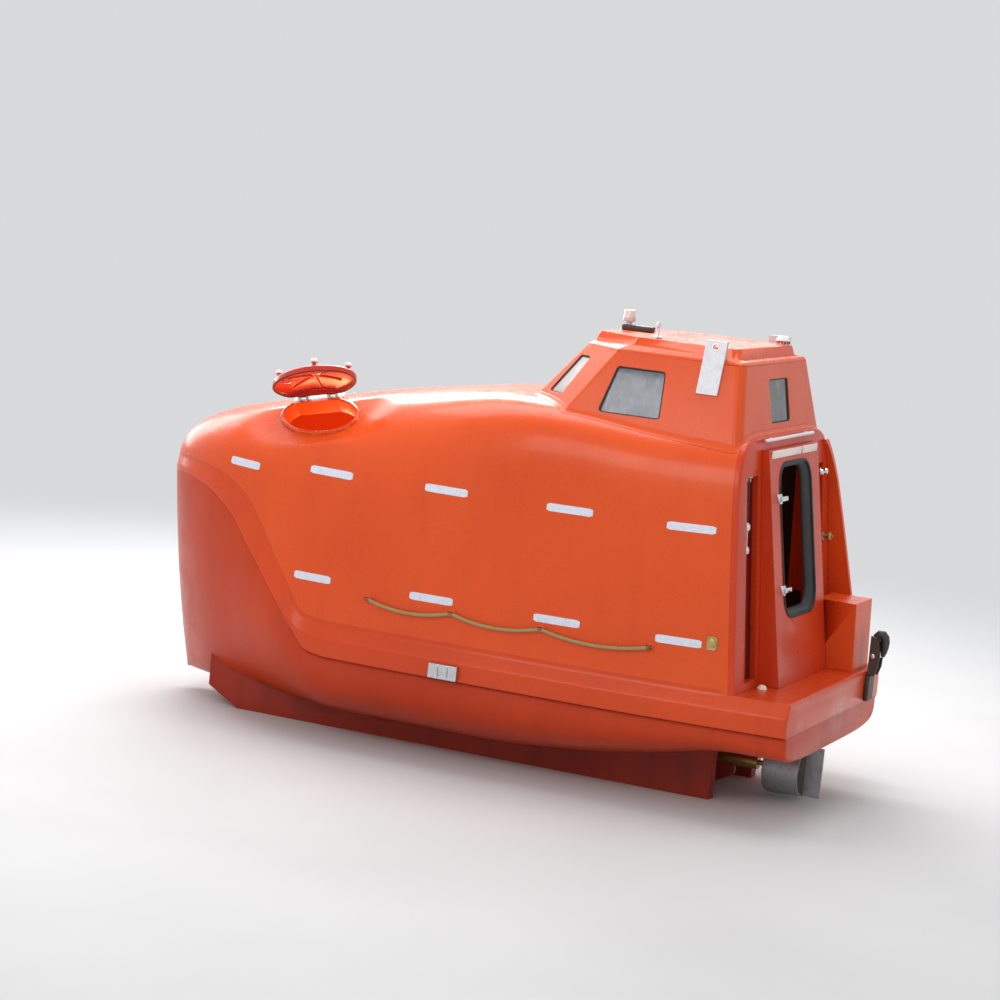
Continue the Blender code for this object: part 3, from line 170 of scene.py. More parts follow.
def plastic(name, colour, second, rough=0.45, grain=280.0, strength=0.16, coat=0.0):
    """Moulded plastic, paint or rubber with a pebbled skin and scuffs."""
    n = Nodes(name)
    base = n.mix(n.ramp(n.noise(7.0, 4, 0.6), 0.35, 0.7), colour, second)
    scuff = n.ramp(n.noise(60.0, 5, 0.7, (1, 1, 0.3)), 0.60, 0.82, 0.0, 0.35)
    light = tuple(min(1.0, c * 1.6 + 0.02) for c in colour)
    haze = n.ramp(n.noise(20.0, 4, 0.6), 0.3, 0.7, rough - 0.06, rough + 0.08)
    return n.surface(n.mix(scuff, base, light), n.maths("ADD", haze, n.maths("MULTIPLY", scuff, 0.3)),
                     n.bump(n.noise(grain, 2), strength, 0.0008, n.rounded_edges(0.002)), Coat_Weight=coat)


def glass(name, tint, second, alpha):
    """Tinted pane: grey-blue with a smudged, slightly uneven face."""
    n = Nodes(name)
    cloud = n.ramp(n.noise(6.0, 4, 0.6, (1, 1, 1), 0.6), 0.42, 0.62)
    smear = n.ramp(n.noise(22.0, 5, 0.7, (1, 1, 0.4), 0.4), 0.52, 0.78, 0.0, 0.45)
    return n.surface(n.mix(smear, n.mix(cloud, tint, second), (0.42, 0.44, 0.48)),
                     n.ramp(n.noise(35.0, 4, 0.6), 0.35, 0.75, 0.03, 0.16),
                     n.bump(n.noise(3.0, 2, 0.4), 0.05, 0.01),
                     Alpha=alpha, IOR=1.5, Coat_Weight=0.5, Coat_Roughness=0.03)


def make_tape():
    """Silver-white retro-reflective sheet with its fine cells."""
    n = Nodes("reflective_tape")
    wall = n.ramp(n.cells(170.0, "DISTANCE_TO_EDGE"), 0.02, 0.10)
    soil = n.ramp(n.noise(24.0, 5, 0.65), 0.48, 0.78, 0.0, 0.40)
    base = n.mix(wall, (0.50, 0.56, 0.66), (0.78, 0.83, 0.93))
    haze = n.ramp(n.noise(30.0, 3, 0.6), 0.3, 0.7, 0.28, 0.46)
    return n.surface(n.mix(soil, base, (0.50, 0.47, 0.46)), haze, n.bump(wall, 0.25, 0.0005),
                     Metallic=0.25, Coat_Weight=0.5, Coat_Roughness=0.12)


def make_rope():
    """Laid rope: yarn flecks along the strands."""
    n = Nodes("grab_rope")
    light, dark = (0.50, 0.42, 0.17), (0.20, 0.19, 0.07)
    fleck = n.ramp(n.noise(420.0, 3, 0.6, (1, 1, 0.6)), 0.38, 0.66)
    wear = n.ramp(n.noise(18.0, 4, 0.6), 0.45, 0.75, 0.0, 0.5)
    return n.surface(n.mix(wear, n.mix(fleck, dark, light), tuple(c * 0.55 for c in light)), 0.88,
                     n.bump(n.noise(600.0, 2, 0.6), 0.5, 0.0008), Sheen_Weight=0.25)


def make_sole():
    """Grey deck paint with a raised non-slip pattern."""
    n = Nodes("sole_paint")
    worn = n.ramp(n.noise(5.0, 5, 0.65), 0.45, 0.75, 0.0, 0.6)
    grip = n.ramp(n.cells(95.0, "F1"), 0.1, 0.5)
    return n.surface(n.mix(worn, (0.24, 0.25, 0.27), (0.13, 0.13, 0.14)),
                     n.ramp(n.noise(14.0, 4, 0.6), 0.3, 0.7, 0.5, 0.75),
                     n.bump(grip, 0.5, 0.0015, n.rounded_edges(0.004)))


ORANGE = gelcoat("orange_gelcoat", (0.74, 0.088, 0.014), (0.68, 0.074, 0.012), (0.46, 0.045, 0.010))
BAND = gelcoat("band_gelcoat", (0.65, 0.066, 0.010), (0.58, 0.054, 0.009), (0.36, 0.034, 0.009), 0.30, 0.15)
HULL = gelcoat("hull_gelcoat", (0.55, 0.048, 0.007), (0.46, 0.036, 0.006), (0.24, 0.022, 0.007), 0.36, 0.08,
               0.006, 0.20)
WALLRED = gelcoat("wall_gelcoat", (0.64, 0.052, 0.009), (0.55, 0.040, 0.008), (0.34, 0.022, 0.008), 0.30,
                  0.18)
# A deeper red for the whole hatch lid: painted shade of the open lid's underside.
LID_SHADED_RED = gelcoat("lid_painted_shade_gelcoat", (0.52, 0.026, 0.010), (0.42, 0.018, 0.009), (0.22, 0.012, 0.008), 0.24, 0.4)
# A darker copy of the red gelcoat: painted shade for the port chain recess, the engine bed and the vent's
# louvres.
SHADED_RED = gelcoat("recess_painted_shade_gelcoat", (0.27, 0.012, 0.006), (0.20, 0.009, 0.005), (0.10, 0.008, 0.006), 0.36,
                  0.10)
# A pale peach gelcoat: the deck drain's colour, and a painted highlight on the bars over the door.
PALE_AND_HIGHLIGHT = gelcoat("pale_gelcoat_and_ledge_highlight", (0.92, 0.80, 0.74), (0.88, 0.70, 0.62), (0.60, 0.30, 0.20), 0.28, 0.3, 0.004,
               0.15)
SKID = gelcoat("skid_gelcoat", (0.34, 0.030, 0.012), (0.24, 0.020, 0.010), (0.09, 0.02, 0.012), 0.5, 0.05,
               0.006, 0.5)
STEEL = metal("stainless", (0.66, 0.68, 0.71))
CHROME = metal("bright_steel", (0.80, 0.82, 0.85), 0.16, (0.45, 0.40, 0.33), share=0.2)
PLATE = metal("plate_steel", (0.66, 0.66, 0.70), 0.42, (0.42, 0.38, 0.34), (1, 1, 0.08), 0.35, share=0.25)
BRONZE = metal("cast_bronze", (0.62, 0.40, 0.14), 0.34, (0.12, 0.20, 0.13), share=0.5)
BRASS = metal("brass", (0.55, 0.42, 0.16), 0.34, (0.10, 0.09, 0.05), share=0.6)
NOZZLE = metal("nozzle_steel", (0.42, 0.43, 0.45), 0.48, (0.20, 0.10, 0.05), (1, 1, 1), 0.75, 0.003, 0.5)
DARKSTEEL = metal("dark_steel", (0.10, 0.09, 0.085), 0.42, (0.16, 0.07, 0.03), share=0.6, metallic=0.8)
# A near-black colour for the cabin's inner faces: painted shade of the dark inside.
SHADE_LINING = plastic("dark_lining_painted_shade", (0.012, 0.012, 0.013), (0.020, 0.020, 0.022), 0.8, 180.0, 0.3)
BLACK = plastic("black_rubber", (0.018, 0.018, 0.020), (0.028, 0.028, 0.030), 0.55)
BLACKPAINT = plastic("black_paint", (0.030, 0.027, 0.025), (0.060, 0.045, 0.035), 0.42, 120.0, 0.3)
WHITE = plastic("white_plastic", (0.80, 0.79, 0.76), (0.70, 0.68, 0.64), 0.34, 200.0, 0.08, 0.2)
SEAT = plastic("seat_plastic", (0.030, 0.031, 0.034), (0.045, 0.045, 0.048), 0.5, 320.0, 0.35)
WEB = plastic("webbing", (0.62, 0.12, 0.02), (0.48, 0.09, 0.02), 0.8, 900.0, 0.6)
ENGINE = plastic("engine_paint", (0.055, 0.085, 0.10), (0.040, 0.060, 0.075), 0.4)
LENS = plastic("lamp_lens", (0.75, 0.72, 0.70), (0.62, 0.58, 0.56), 0.12, 90.0, 0.1, 0.6)
ZINC = plastic("zinc", (0.40, 0.41, 0.42), (0.28, 0.29, 0.30), 0.6, 90.0, 0.5)
PANE = glass("side_pane", (0.085, 0.095, 0.125), (0.14, 0.155, 0.20), 0.93)
DARKPANE = glass("dark_pane", (0.030, 0.036, 0.034), (0.060, 0.072, 0.068), 0.93)
# Pale panes for the front and quarter windows: their pale colour is a painted reflection of the bright sky.
SKY_REFLECTION_PANE = glass("front_pane_painted_reflection", (0.40, 0.36, 0.33), (0.52, 0.50, 0.49), 0.9)
TAPE, ROPE, SOLE = make_tape(), make_rope(), make_sole()


# Geometry helpers.
def finish_piece(name, bm, material, angle=40.0, body="boat"):
    """Turn a bmesh into a shaded piece that rides on a body."""
    me = bpy.data.meshes.new(name)
    bmesh.ops.recalc_face_normals(bm, faces=bm.faces)
    bm.to_mesh(me)
    bm.free()
    me.materials.append(material)
    for poly in me.polygons:
        poly.use_smooth = True
    me.set_sharp_from_angle(angle=math.radians(angle))
    obj = bpy.data.objects.new(name, me)
    bpy.context.scene.collection.objects.link(obj)
    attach(obj, body)
    return obj


def ring_points(centre, u, v, radius, count):
    """Points round a circle in the plane of u and v."""
    angles = [2 * math.pi * k / count for k in range(count)]
    return [centre + u * math.cos(a) * radius + v * math.sin(a) * radius for a in angles]


def bridge(bm, rings, capped=False):
    """Quads between neighbouring rings of vertices, and a face over each end."""
    for a, b in zip(rings, rings[1:]):
        for k in range(len(a)):
            n = (k + 1) % len(a)
            bm.faces.new((a[k], a[n], b[n], b[k]))
    if capped:
        bm.faces.new(list(reversed(rings[0])))
        bm.faces.new(rings[-1])


def across(t):
    """A direction square to t, level where t isn't upright."""
    return t.cross(Z if abs(t.z) < 0.9 else X).normalized()


def frames(points, closed=False):
    """Tangent, side and up at each point, carried along without twist."""
    out = []
    last = None
    for i, p in enumerate(points):
        a = points[i - 1] if (i > 0 or closed) else p
        b = points[(i + 1) % len(points)] if (i < len(points) - 1 or closed) else p
        t = (b - a).normalized()
        last = across(t) if last is None else (last - t * last.dot(t)).normalized()
        out.append((t, last, t.cross(last).normalized()))
    return out


def add_tube(bm, points, radius, segments=12, closed=False):
    """Sweep a circle along points; radius is a number or a list with one for each point."""
    points = [Vector(p) for p in points]
    radii = radius if isinstance(radius, list) else [radius] * len(points)
    rings = []
    for p, r, (_, u, v) in zip(points, radii, frames(points, closed)):
        rings.append([bm.verts.new(q) for q in ring_points(p, u, v, r, segments)])
    if closed:
        a, b = rings[-1], rings[0]
        shift = min(range(segments), key=lambda s: (b[s].co - a[0].co).length)
        rings.append(b[shift:] + b[:shift])
    bridge(bm, rings, capped=not closed)


def add_turned(bm, centre, axis, profile, segments=24):
    """Turn a profile of (radius, height) about an axis; it may end in a point of radius 0."""
    axis = Vector(axis).normalized()
    u = across(axis)
    v = axis.cross(u).normalized()
    pointed = profile[-1][0] < 1e-6
    rings = []
    for r, h in profile[:-1] if pointed else profile:
        rings.append([bm.verts.new(p) for p in ring_points(Vector(centre) + axis * h, u, v, r, segments)])
    bridge(bm, rings)
    bm.faces.new(list(reversed(rings[0])))
    top = rings[-1]
    if pointed:
        tip = bm.verts.new(Vector(centre) + axis * profile[-1][1])
        for k in range(segments):
            bm.faces.new((top[k], top[(k + 1) % segments], tip))
    else:
        bm.faces.new(top)


def tube_piece(name, material, paths, radius, segments, closed=False, angle=60.0, body="boat"):
    """One piece made of a tube along each path."""
    bm = bmesh.new()
    for path in paths:
        add_tube(bm, path, radius, segments, closed)
    return finish_piece(name, bm, material, angle, body)


def turned_piece(name, material, places, profile, segments=24, angle=40.0, body="boat"):
    """One piece made of the same turned profile at each (centre, axis)."""
    bm = bmesh.new()
    for centre, axis in places:
        add_turned(bm, centre, axis, profile, segments)
    return finish_piece(name, bm, material, angle, body)


def add_box(bm, centre, half, radius=0.003, axes=(X, Y, Z)):
    """A box with rounded edges, from its centre, half sizes and three axes."""
    part = bmesh.new()
    made = bmesh.ops.create_cube(part, size=2.0)
    x, y, z = (Vector(a).normalized() for a in axes)
    for v in made["verts"]:
        v.co = Vector(centre) + x * v.co.x * half[0] + y * v.co.y * half[1] + z * v.co.z * half[2]
    if radius > 0:
        bmesh.ops.bevel(part, geom=part.edges[:], offset=radius, segments=2, profile=0.5, affect="EDGES")
    me = bpy.data.meshes.new("part")
    part.to_mesh(me)
    part.free()
    bm.from_mesh(me)
    bpy.data.meshes.remove(me)


# A bolt is three turned parts: sides, start height, and a profile, in shares of its size.
BOLT = ((20, 0.0, ((1.25, 0.0), (1.25, 0.16), (1.12, 0.24), (0.8, 0.24))),
        (6, 0.22, ((0.86, 0.0), (0.88, 0.5), (0.72, 0.66))),
        (12, 0.8, ((0.42, 0.0), (0.42, 0.3), (0.30, 0.40))))
SUNK = 0.0005


def add_bolt(bm, point, normal, size=0.010):
    """A washer with a hexagon head and a small shank end."""
    n = Vector(normal).normalized()
    for sides, start, profile in BOLT:
        scaled = [(r * size, h * size) for r, h in profile]
        if start == 0.0:
            scaled[0] = (scaled[0][0], -SUNK)
        add_turned(bm, Vector(point) + n * size * start, n, scaled, sides)


def surface(node):
    """A search tree of the faces that show for one node."""
    me = SKINS[node].data
    return BVHTree.FromPolygons([v.co.copy() for v in me.vertices], [tuple(p.vertices) for p in me.polygons])


def dress(node, material, angle):
    """The CAD node's own shape with merged, smoothly shaded faces, standing for the node."""
    src = NODES[node]
    bm = bmesh.new()
    bm.from_mesh(src.data)
    bmesh.ops.remove_doubles(bm, verts=bm.verts, dist=0.00002)
    piece = finish_piece("skin_" + node, bm, material, angle, src["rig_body"])
    even = piece.modifiers.new("even", "WEIGHTED_NORMAL")
    even.weight = 100
    even.keep_sharp = True
    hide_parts(node)
    return piece


# The nodes that keep their own shape, with their material and the angle of a sharp edge.
FINISHES = (
    (ORANGE, 24, "cab_shell cab_roof"), (ORANGE, 30, "hatch_coaming"), (ORANGE, 40, "aft_door"),
    # hatch_lid takes the deeper red of painted shade.
    (ORANGE, 50, "deck_locker"), (LID_SHADED_RED, 30, "hatch_lid"), (WALLRED, 50, "door_housing"),
    # niche_port and engine_bed take the darker red of painted shade.
    (WALLRED, 40, "niche_starboard"), (SHADED_RED, 40, "niche_port"), (SHADED_RED, 30, "engine_bed"),
    (WHITE, 30, "hatch_hinge_base mast_light roof_dome"), (WHITE, 40, "drip_rail"), (BLACK, 40, "door_seal"),
    (CHROME, 30, "roof_post"), (CHROME, 40, "door_dog_upper door_dog_lower"),
    (PLATE, 30, "lifting_plate_port lifting_plate_starboard"), (DARKSTEEL, 40, "stern_bracket"),
    (STEEL, 40, "gunwale_bracket_port gunwale_bracket_starboard"),
    (STEEL, 40, "door_hinge_upper_a door_hinge_upper_b door_hinge_lower_a door_hinge_lower_b"),
    (SKID, 30, "skid_port skid_starboard skeg"), (BRONZE, 35, "stern_tube"), (BRONZE, 40, "propeller"),
    (NOZZLE, 35, "steering_nozzle nozzle_fin"), (SOLE, 30, "cabin_sole"), (ENGINE, 30, "engine"),
    (SEAT, 35, "seats_port seats_starboard helm_seat"), (DARKPANE, 30, "cab_window_aft"),
    (PANE, 30, "cab_window_port cab_window_starboard"),
    # The front and quarter windows take the pale panes of painted reflection.
    (SKY_REFLECTION_PANE, 30, "cab_window_front cab_window_quarter_port cab_window_quarter_starboard"),
)
SKINS = {}
for material, angle, nodes in FINISHES:
    for node in nodes.split():
        SKINS[node] = dress(node, material, angle)

# The body's lines, in boat coordinates, as (station, value) lists.
LENGTH = 4.87
BEAM_HALF = 1.081
TRANSOM_HALF = 0.996
WALL = 0.035
WALL_T = 0.04
SEAM = 0.0003
RIDGE = [(0.0, 1.55), (1.0, 1.56), (1.7, 1.61), (2.2, 1.63), (2.54, 1.60), (2.86, 1.553), (3.13, 1.512),
         (3.39, 1.46), (3.69, 1.39), (4.0, 1.33), (4.2, 1.285), (4.39, 1.235), (4.56, 1.17), (4.67, 1.115),
         (4.76, 1.04), (4.82, 0.965), (4.855, 0.89), (4.87, 0.83)]
LEDGE_TOP = [(3.20, 0.0), (3.36, 0.03), (3.47, 0.177), (3.60, 0.354), (3.75, 0.562),
             (3.92, 0.734), (4.20, 0.845), (4.60, 0.875), (4.82, 0.83), (4.87, 0.805)]
LEDGE_LOW = [(3.15, -0.09), (3.285, -0.085), (3.415, -0.02), (3.544, 0.114), (3.68, 0.276),
             (3.84, 0.449), (4.0, 0.621), (4.28, 0.766), (4.60, 0.81), (4.82, 0.775), (4.87, 0.76)]
BAND_LOW = [(3.15, -0.21), (3.28, -0.19), (3.415, -0.06), (3.544, 0.084), (3.68, 0.246),
            (3.84, 0.419), (4.0, 0.591), (4.28, 0.736), (4.60, 0.78), (4.82, 0.745), (4.87, 0.73)]
KEEL = [(0.0, -0.40), (0.40, -0.41), (0.9, -0.53), (1.5, -0.64), (2.1, -0.69), (4.2, -0.69),
        (4.6, -0.68), (4.87, -0.66)]
FULLNESS = [(0.0, 8.5), (1.7, 8.5), (2.3, 5.6), (3.0, 3.4), (3.6, 2.75), (4.2, 2.3), (4.87, 2.1)]
BILGE = [(0.0, 5.0), (0.6, 3.4), (1.6, 2.6), (3.6, 2.4), (4.87, 2.2)]
TUMBLE = [(0.0, 0.06), (1.7, 0.06), (3.0, 0.0)]


class Line:
    """A fair curve through a list of (station, value), softened a little at its knots."""

    def __init__(self, points, soft):
        self.points = points
        self.soft = soft
        rise = [(q - p) / (b - a) for (a, p), (b, q) in zip(points, points[1:])]
        self.slope = [rise[0]]
        for before, after in zip(rise, rise[1:]):
            self.slope.append(2 * before * after / (before + after) if before * after > 0 else 0.0)
        self.slope.append(rise[-1])

    def exact(self, x):
        pts = self.points
        if x <= pts[0][0]:
            return pts[0][1]
        if x >= pts[-1][0]:
            return pts[-1][1]
        k = 0
        while pts[k + 1][0] < x:
            k += 1
        (a, p), (b, q) = pts[k], pts[k + 1]
        h = b - a
        t = (x - a) / h
        return (p * (1 + 2 * t) * (1 - t) ** 2 + self.slope[k] * h * t * (1 - t) ** 2
                + q * t * t * (3 - 2 * t) + self.slope[k + 1] * h * t * t * (t - 1))

    def __call__(self, x):
        w = min(self.soft, max(0.0, (LENGTH - x) * 0.4))
        return (self.exact(x - w) + 2 * self.exact(x - w / 2) + 3 * self.exact(x)
                + 2 * self.exact(x + w / 2) + self.exact(x + w)) / 9


ridge_line = Line(RIDGE, 0.10)
top_line = Line(LEDGE_TOP, 0.035)
low_line = Line(LEDGE_LOW, 0.035)
foot_line = Line(BAND_LOW, 0.035)
keel_line = Line(KEEL, 0.15)
full_line = Line(FULLNESS, 0.20)
bilge_line = Line(BILGE, 0.20)
tumble_line = Line(TUMBLE, 0.20)


def plan(x):
    """Half breadth at the gunwale."""
    if x < 1.6:
        return TRANSOM_HALF + (BEAM_HALF - TRANSOM_HALF) * math.sin(max(x, 0.0) / 1.6 * math.pi / 2)
    if x < 2.4:
        return BEAM_HALF
    t = min(1.0, (x - 2.4) / (LENGTH - 2.4))
    return BEAM_HALF * max(0.0, 1 - t ** 2.6) ** (1 / 1.8)


def ease(t):
    """Smooth ramp from 0 to 1."""
    t = min(1.0, max(0.0, t))
    return t * t * (3 - 2 * t)


def at_bow(s, along, bow):
    """A measure that goes over from its value along the side to its value on the bow."""
    near = ease((s - 3.1) / 0.5)
    return along * (1 - near) + bow * near


def step_in(s):
    """How far the canopy's side stands in from the gunwale."""
    return min(at_bow(s, 0.055, 0.03), plan(s) * 0.25)


def evenly(points, count):
    """The same (y, z) line with its points at even distances."""
    run = [0.0]
    for a, b in zip(points, points[1:]):
        run.append(run[-1] + math.hypot(b[0] - a[0], b[1] - a[1]))
    out = [points[0]]
    j = 0
    for i in range(1, count):
        d = run[-1] * i / count
        while run[j + 1] < d:
            j += 1
        t = (d - run[j]) / max(1e-9, run[j + 1] - run[j])
        out.append((points[j][0] + (points[j + 1][0] - points[j][0]) * t,
                    points[j][1] + (points[j + 1][1] - points[j][1]) * t))
    out.append(points[-1])
    return out


# The hatch's middle, in boat coordinates, and its axes: along, across and out.
HATCH_MID = Vector((1.1871 - OX, 0.583, 2.0765 - OZ))
HATCH_U = Vector((0.97732, 0.0, -0.21176)).normalized()
HATCH_N = Vector((0.1772, 0.5477, 0.8177)).normalized()
HATCH_V = HATCH_N.cross(HATCH_U).normalized()


def landed(p, inset):
    """Flatten the port shoulder round the hatch, fading into the skin."""
    off = p - HATCH_MID
    reach = math.hypot(off.dot(HATCH_U), off.dot(HATCH_V))
    share = 1 - ease((reach - 0.33) / 0.30)
    if share <= 0.0 or p.y <= 0.05 or abs(off.dot(HATCH_N)) > 0.5:
        return p
    flat = HATCH_MID.z - (HATCH_N.x * off.x + HATCH_N.y * off.y) / HATCH_N.z - inset / HATCH_N.z
    if flat > p.z:
        share *= ease((off.dot(HATCH_V) + 0.24) / 0.24)
    return Vector((p.x, p.y, p.z + (flat - p.z) * share))


def crown(s, inset, count):
    """Half of the canopy's section, from the ridge to the ledge."""
    top = top_line(s)
    ridge = max(ridge_line(s), top + 0.012) - inset
    side = plan(s) - step_in(s) - inset
    n = full_line(s)
    tumble = tumble_line(s)
    corner = 2 ** (-1 / n)
    half = []
    for i in range(161):
        t = i / 80
        if t < 1:
            over = corner * t
            rise = (1 - over ** n) ** (1 / n)
        else:
            rise = corner * (2 - t)
            over = (1 - rise ** n) ** (1 / n) if rise > 0 else 1.0
        rise = max(0.0, rise)
        half.append((side * over * (1 - tumble * rise ** 1.5), top + (ridge - top) * rise))
    return evenly(half, count)


def belly(s, inset, draw, count):
    """Half of the hull's section, from under the gunwale band to the keel."""
    side = plan(s) - inset - draw
    side -= step_in(s) if inset > 0.001 else at_bow(s, 0.03, 0.0)
    start = foot_line(s) - 0.012
    keel = keel_line(s) + inset + draw
    power = 2 / bilge_line(s)
    half = [(side, start)]
    for i in range(1, 121):
        a = math.pi / 2 * i / 120
        out = side * math.cos(a) ** power if i < 120 else 0.0
        half.append((out, start - (start - keel) * math.sin(a) ** power))
    return evenly(half, count)


def ring_at(s, half, inset=0.0):
    """A half section mirrored into a ring, raked at the stem and flattened for the hatch."""
    ring = list(half) + [(-y, z) for y, z in reversed(half) if y > 1e-6]
    out = []
    for y, z in ring:
        rake = 0.16 * max(0.0, (0.81 - z)) / 1.54 * ease((s - 4.1) / 0.77)
        out.append(landed(Vector((s - rake, y, z)), inset))
    return out


def mirrored(half):
    """Points of (x, y, z) on the port side made into a ring, with no rake and no hatch."""
    return [Vector(p) for p in half] + [Vector((s, -y, z)) for s, y, z in reversed(half) if y > 1e-6]


def ladder(bm, ring):
    """Close a ring that is its own mirror image with strips across the middle line."""
    a, b = 0, len(ring) - 1
    if abs(ring[0].co.y) < 1e-6:
        bm.faces.new((ring[0], ring[1], ring[b]))
        a = 1
    while b - a > 2:
        bm.faces.new((ring[a], ring[a + 1], ring[b - 1]))
        bm.faces.new((ring[a], ring[b - 1], ring[b]))
        a += 1
        b -= 1
    if b - a == 2:
        bm.faces.new((ring[a], ring[a + 1], ring[b]))


def loft(rings, nose=False):
    """Rings of equal count, in boat coordinates, joined into one closed solid in the row frame."""
    bm = bmesh.new()
    made = [[bm.verts.new((p.x + OX, p.y, p.z + OZ)) for p in ring] for ring in rings]
    count = len(rings[0])
    for a, b in zip(made, made[1:]):
        for k in range(count):
            n = (k + 1) % count
            bm.faces.new((a[k], a[n], b[n]))
            bm.faces.new((a[k], b[n], b[k]))
    bm.faces.new(made[0])
    if nose:
        ladder(bm, made[-1])
    else:
        bm.faces.new(list(reversed(made[-1])))
    bm.normal_update()
    bmesh.ops.recalc_face_normals(bm, faces=bm.faces)
    if bm.calc_volume(signed=True) < 0:
        bmesh.ops.reverse_faces(bm, faces=bm.faces)
    return bm


def prism(points, axis, start, end):
    """A flat outline of (x, z) or (x, y) pushed along y or z."""
    rings = []
    for level in (start, end):
        rings.append([Vector((a, level, b) if axis == "y" else (a, b, level)) for a, b in points])
    return loft(rings)


def solid(bm):
    """A helper object for one exact Boolean."""
    me = bpy.data.meshes.new("helper")
    bm.to_mesh(me)
    bm.free()
    obj = bpy.data.objects.new("helper", me)
    bpy.context.scene.collection.objects.link(obj)
    return obj


def discard(obj):
    """Remove a helper object with its mesh."""
    spare = obj.data
    bpy.data.objects.remove(obj, do_unlink=True)
    bpy.data.meshes.remove(spare)


def carve(obj, bm, how="DIFFERENCE"):
    """One exact Boolean on a helper object."""
    other = solid(bm)
    mod = obj.modifiers.new("cut", "BOOLEAN")
    mod.operation = how
    mod.solver = "EXACT"
    mod.object = other
    bpy.context.view_layer.update()
    fresh = bpy.data.meshes.new_from_object(obj.evaluated_get(bpy.context.evaluated_depsgraph_get()))
    obj.modifiers.clear()
    old = obj.data
    obj.data = fresh
    bpy.data.meshes.remove(old)
    discard(other)


def finish_solid(obj, node, material, angle):
    """The carved helper becomes the skin that stands for a node."""
    bm = bmesh.new()
    bm.from_mesh(obj.data)
    bmesh.ops.remove_doubles(bm, verts=bm.verts, dist=0.00003)
    bmesh.ops.dissolve_degenerate(bm, edges=bm.edges, dist=0.00003)
    discard(obj)
    for face in bm.faces:
        face.material_index = 0
    piece = finish_piece("skin_" + node, bm, material, angle)
    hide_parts(node)
    SKINS[node] = piece


def spaced(a, b, count):
    """Even steps from a up to, but not with, b."""
    return [a + (b - a) * i / count for i in range(count)]


NOSE = [LENGTH - 0.27 * (1 - i / 26) ** 2.2 for i in range(26)]
MAIN = spaced(1.0, 3.1, 26) + spaced(3.1, 4.4, 66) + spaced(4.4, 4.6, 8) + NOSE
STERN_ROUND = 0.022
AFT = [0.0, 0.0012, 0.004, 0.008, 0.014, STERN_ROUND]
INNER = spaced(0.035, 3.0, 30) + spaced(3.0, 4.52, 38) + [4.52]
SIDE_COUNT = 76


def aft_x(z):
    """The aft wall's face leans forward a little."""
    return 0.36 + 0.10 * z


def house_x(z):
    """The door housing's aft face leans more."""
    return 0.228 + 0.158 * z


def stern_draw(s):
    """How far the rounded edge of the transom draws a section in."""
    return STERN_ROUND - math.sqrt(max(0.0, STERN_ROUND ** 2 - (STERN_ROUND - min(s, STERN_ROUND)) ** 2))


def inner_body():
    """Everything inside the laminate."""
    rings = []
    for s in INNER:
        half = crown(s, WALL, 30) + [(plan(s) - step_in(s) - WALL, low_line(s))] + belly(s, WALL, 0.0, 22)
        rings.append(ring_at(s, half, WALL))
    return loft(rings, True)


def on_plane(offset, count, draw=0.0):
    """The canopy's half section where it meets the leaning plane of the aft wall."""
    half = []
    for i in range(count + 1):
        s = 0.47
        for _ in range(4):
            y, z = crown(s, draw, count)[i]
            s = aft_x(z) + offset
        half.append((s, y, z))
    return half


def cab_ring(z, inset=0.0):
    """The cab at a height: aft edge, end of the side, half breadth, front edge, front half breadth."""
    t = (z - 1.517) / (2.011 - 1.517)
    return (0.549 + 0.089 * t + inset, 1.778 - 0.318 * t - inset * 0.45, 0.807 - 0.169 * t - inset,
            2.152 - 0.395 * t - inset, 0.514 - 0.109 * t - inset * 0.45)


def oval(grow, a, share=1.0):
    """The hatch's slanted oval, grown, at an angle and a share of the way out from its middle."""
    u = (0.265 + grow) * math.cos(a) - 0.11 * math.sin(a)
    v = (0.195 + grow) * math.sin(a)
    return u * share, v * share - 0.012


def hatch_cut():
    """The hatch's oval with a straight inboard side, as a cutter."""
    grow = 0.03 + SEAM
    reach = math.asin((0.197 + SEAM - 0.012) / (0.195 + grow))
    rings = []
    for level in (-0.25, 0.25):
        ring = []
        for i in range(65):
            u, v = oval(grow, -reach + (math.pi + 2 * reach) * i / 64)
            ring.append(HATCH_MID + HATCH_U * u + HATCH_V * v + HATCH_N * level)
        rings.append(ring)
    return loft(rings)


# Canopy: a dense, fair skin with the cab opening and the hatch cut.
end = on_plane(WALL_T, SIDE_COUNT)
rings = [mirrored(end)]
for k in range(1, 9):
    stations = [s + (1.0 - s) * (k / 9) for s, y, z in end]
    rings.append(mirrored([(s,) + crown(s, 0.0, SIDE_COUNT)[i] for i, s in enumerate(stations)]))
for s in MAIN:
    rings.append(ring_at(s, crown(s, 0.0, SIDE_COUNT)))
for ring in rings:
    ring[SIDE_COUNT].z += SEAM
    ring[SIDE_COUNT + 1].z += SEAM
skin = solid(loft(rings, True))
carve(skin, inner_body())
aft, side_end, half, front, front_half = cab_ring(1.62, 0.045)
starboard = [(aft + 0.05, half), (side_end, half), (front, front_half)]
carve(skin, prism(starboard + [(x, -y) for x, y in reversed(starboard)], "z", 1.30, 1.9))
carve(skin, hatch_cut())
finish_solid(skin, "canopy_shell", ORANGE, 34)


def arc_corner(a, b, c, radius, count=4):
    """Points that round the corner b between a and c."""
    a, b, c = Vector(a), Vector(b), Vector(c)
    u = (a - b).normalized()
    v = (c - b).normalized()
    half = math.acos(max(-1.0, min(1.0, u.dot(v)))) / 2
    reach = min(radius / math.tan(half), (a - b).length * 0.45, (c - b).length * 0.45)
    radius = reach * math.tan(half)
    middle = b + (u + v).normalized() * radius / math.sin(half)
    p0, p1 = b + u * reach - middle, b + v * reach - middle
    return [tuple(middle + p0.lerp(p1, k / count).normalized() * radius) for k in range(count + 1)]


def bow_curve(start, corner, end, steps):
    """Points of a quadratic curve from start to end that bends at a corner."""
    shares = [k / steps for k in range(steps + 1)]
    return [start * (1 - t) ** 2 + corner * 2 * t * (1 - t) + end * t * t for t in shares]


